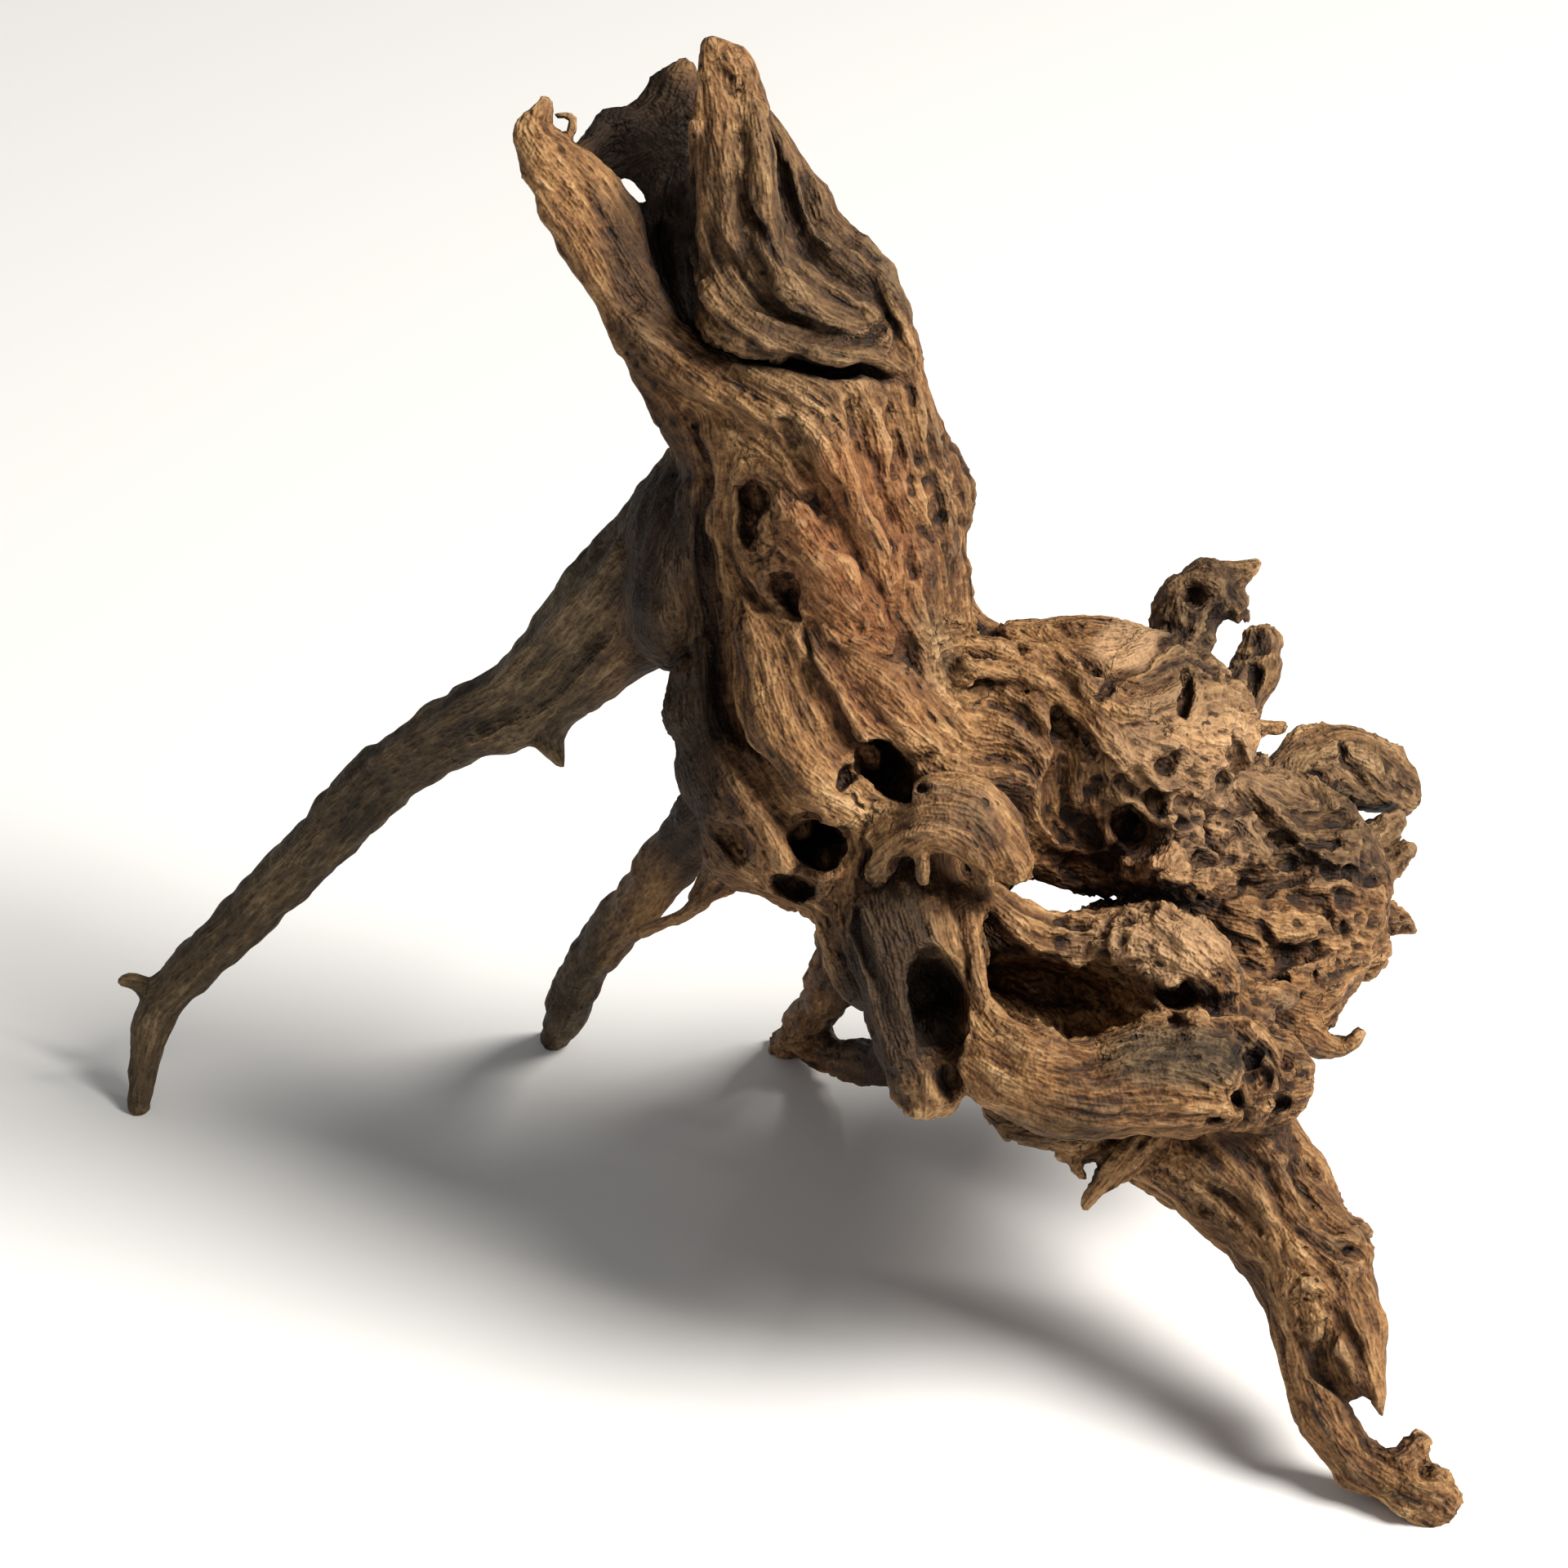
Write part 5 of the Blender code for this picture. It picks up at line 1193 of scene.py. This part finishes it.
def wood_material():
    """Wood whose fibres, cracks and colours follow the grain stored on the mesh; shade is painted into its
    hollows and shaded parts, and raised edges are painted paler.
    """
    material = bpy.data.materials.new("weathered_wood")
    n = Nodes(material)
    place = n.node("ShaderNodeTexCoord").outputs["Object"]
    way = n.node("ShaderNodeAttribute", {"attribute_name": "grain"}).outputs["Vector"]
    fine, broad, _ = n.split("marks")
    hollow, open_near, open_far = n.split("painted_shade_and_edges")
    grey, red, pale = n.split("zones")
    painted_shade, pits, sound = n.split("shade_and_rot")

    # Fibres and thin cracks: noise averaged along the grain
    fibres = n.along_grain(place, way, scale=1000.0, step=0.0006, count=6)
    strands = n.along_grain(place, way, scale=430.0, step=0.0012, count=13)
    mottle = n.noise(place, scale=28.0, detail=3.0, roughness=0.6)
    speckle = n.noise(place, scale=500.0, detail=1.0, roughness=0.65)
    weak = n.math("SUBTRACT", 1.0, sound)
    cracks = n.math("MULTIPLY", n.span(strands, 0.32, 0.20), weak)
    checks = n.math("MULTIPLY", n.checks(place, mottle), weak)
    marked = n.math("MAXIMUM", cracks, checks)

    # How light the wood is, and its colour
    tone = -0.92
    for part, strength in ((broad, 0.55), (fine, 0.35), (fibres, 0.5), (strands, 0.6), (mottle, 0.8)):
        tone = n.math("MULTIPLY_ADD", part, strength, tone)
    tone = n.math("MULTIPLY_ADD", tone, 1.25, -0.17)
    # Grey wood on the grey zones, dark partly as painted shade on the left limbs
    colour = n.mix(grey, n.ramp(tone, BROWN_WOOD), n.ramp(tone, GREY_WOOD_WITH_SHADE))
    colour = n.mix(n.math("MULTIPLY", red, 0.5), colour, RED_WOOD)
    colour = n.mix(n.math("MULTIPLY", pale, 0.6), colour, PALE_WOOD)

    # Worn edges are paler, partly as painted highlight, and hollows and narrow gaps are painted darker as
    # shade
    edge = n.ramp(n.math("SUBTRACT", 1.0, hollow), [(0.55, (0, 0, 0)), (0.95, (1, 1, 1))])
    colour = n.mix(n.math("MULTIPLY", edge, 0.35), colour, WORN_AND_LIT_EDGE)
    for painted_shade_and_edges, stops in (
        (hollow, [(0.5, (1, 1, 1)), (0.95, (0.28, 0.24, 0.2))]),
        (open_far, [(0.0, (0.11, 0.085, 0.065)), (0.3, (0.4, 0.34, 0.29)), (0.75, (1, 1, 1))]),
        (open_near, [(0.1, (0.35, 0.3, 0.26)), (0.75, (1, 1, 1))]),
    ):
        colour = n.mix(1.0, colour, n.ramp(painted_shade_and_edges, stops), "MULTIPLY")
    # Painted shade: the pits and the shade patches are painted dark, and the cracks take their dark dirt
    for mark, strength, dark in ((pits, 0.6, PAINTED_PIT_SHADE), (marked, 0.8, CRACK_DIRT), (painted_shade, 0.93, PAINTED_SHADE_COLOUR)):
        colour = n.mix(n.math("MULTIPLY", mark, strength), colour, dark)
    speckled = n.ramp(speckle, [(0.3, (0.62, 0.58, 0.54)), (0.5, (1, 1, 1))])
    colour = n.mix(0.8, colour, speckled, "MULTIPLY")

    # Relief
    height = n.math("MULTIPLY_ADD", fibres, 0.6, speckle)
    height = n.math("MULTIPLY_ADD", strands, 1.2, height)
    height = n.math("SUBTRACT", height, cracks)
    bump = n.node("ShaderNodeBump", Strength=1.0, Distance=BUMP_HEIGHT, Height=height).outputs["Normal"]
    rough = n.math("MULTIPLY_ADD", speckle, 0.25, 0.6)
    shader = n.node("ShaderNodeBsdfPrincipled", Base_Color=colour, Roughness=rough, Normal=bump)
    shader.inputs["Specular IOR Level"].default_value = 0.28
    end = n.node("ShaderNodeOutputMaterial")
    n.tree.links.new(shader.outputs[0], end.inputs["Surface"])
    return material


def floor_material():
    material = bpy.data.materials.new("pale_floor")
    material.use_nodes = True
    shader = material.node_tree.nodes["Principled BSDF"]
    shader.inputs["Base Color"].default_value = (0.86, 0.86, 0.86, 1.0)
    shader.inputs["Roughness"].default_value = 0.8
    return material


def shown(name, mesh):
    piece = bpy.data.objects.new(name, mesh)
    bpy.context.scene.collection.objects.link(piece)
    return piece


def driftwood():
    """The whole piece of wood, in place of the solid."""
    wood = carve()
    mesh = wood.mesh("driftwood_wood")
    drop_scraps(mesh)
    store(mesh, weather(Skin(mesh), wood))
    piece = shown("driftwood_wood", mesh)
    mesh = fewer_faces(piece)
    mesh.transform(stand_up())
    turn_grain(mesh)
    flat_feet(mesh)
    mesh.materials.clear()
    mesh.materials.append(wood_material())
    mesh.shade_smooth()
    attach(piece, "root")
    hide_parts("driftwood")


def floor():
    mesh = bpy.data.meshes.new("floor")
    bm = bmesh.new()
    bmesh.ops.create_circle(bm, cap_ends=True, radius=6.0, segments=96)
    bm.to_mesh(mesh)
    bm.free()
    mesh.materials.append(floor_material())
    piece = shown("floor", mesh)


def camera():
    """The camera where the drawing's eye is, so that the sheet fills its frame."""
    data = bpy.data.cameras.new("camera")
    data.sensor_width = 36.0
    data.lens = data.sensor_width * EYE_DISTANCE / SHEET
    data.clip_start = 0.05
    aim = Vector((-CENTRE_ACROSS, -CENTRE_DEPTH, -FLOOR_HEIGHT)) * MM
    back = Vector((0.0, -math.cos(EYE_ELEVATION), math.sin(EYE_ELEVATION)))
    eye = shown("camera", data)
    eye.location = aim + back * EYE_DISTANCE * MM
    eye.rotation_mode = "QUATERNION"
    eye.rotation_quaternion = (-back).to_track_quat("-Z", "Y")
    bpy.context.scene.camera = eye


def lamp(name, towards, distance, size, power, colour=(1.0, 1.0, 1.0)):
    """A square soft box that looks at the object's middle from a direction."""
    data = bpy.data.lights.new(name, "AREA")
    data.size = size
    data.energy = power
    data.color = colour
    box = shown(name, data)
    towards = Vector(towards).normalized()
    box.location = Vector((0.0, 0.0, 0.2)) + towards * distance
    box.rotation_mode = "QUATERNION"
    box.rotation_quaternion = (-towards).to_track_quat("-Z", "Y")


def lights():
    """A large warm key light from the right and above, a weak fill from the front and a pale surround."""
    lamp("key", (1.0, -0.38, 1.1), distance=3.6, size=1.6, power=255.0, colour=(1.0, 0.96, 0.9))
    lamp("fill", (-0.2, -1.0, 0.7), distance=2.6, size=1.6, power=2.5)
    world = bpy.data.worlds.new("studio")
    bpy.context.scene.world = world
    world.use_nodes = True
    surround = world.node_tree.nodes["Background"]
    surround.inputs["Color"].default_value = (1.0, 1.0, 1.0, 1.0)
    surround.inputs["Strength"].default_value = 0.2
    bpy.context.scene.view_settings.view_transform = "Standard"


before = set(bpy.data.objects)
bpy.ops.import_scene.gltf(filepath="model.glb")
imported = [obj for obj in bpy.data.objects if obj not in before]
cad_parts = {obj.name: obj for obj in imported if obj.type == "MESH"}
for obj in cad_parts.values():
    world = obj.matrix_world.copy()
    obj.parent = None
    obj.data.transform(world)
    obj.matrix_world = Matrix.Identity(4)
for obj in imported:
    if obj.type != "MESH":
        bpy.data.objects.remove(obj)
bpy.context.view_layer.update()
camera()
lights()
floor()
driftwood()
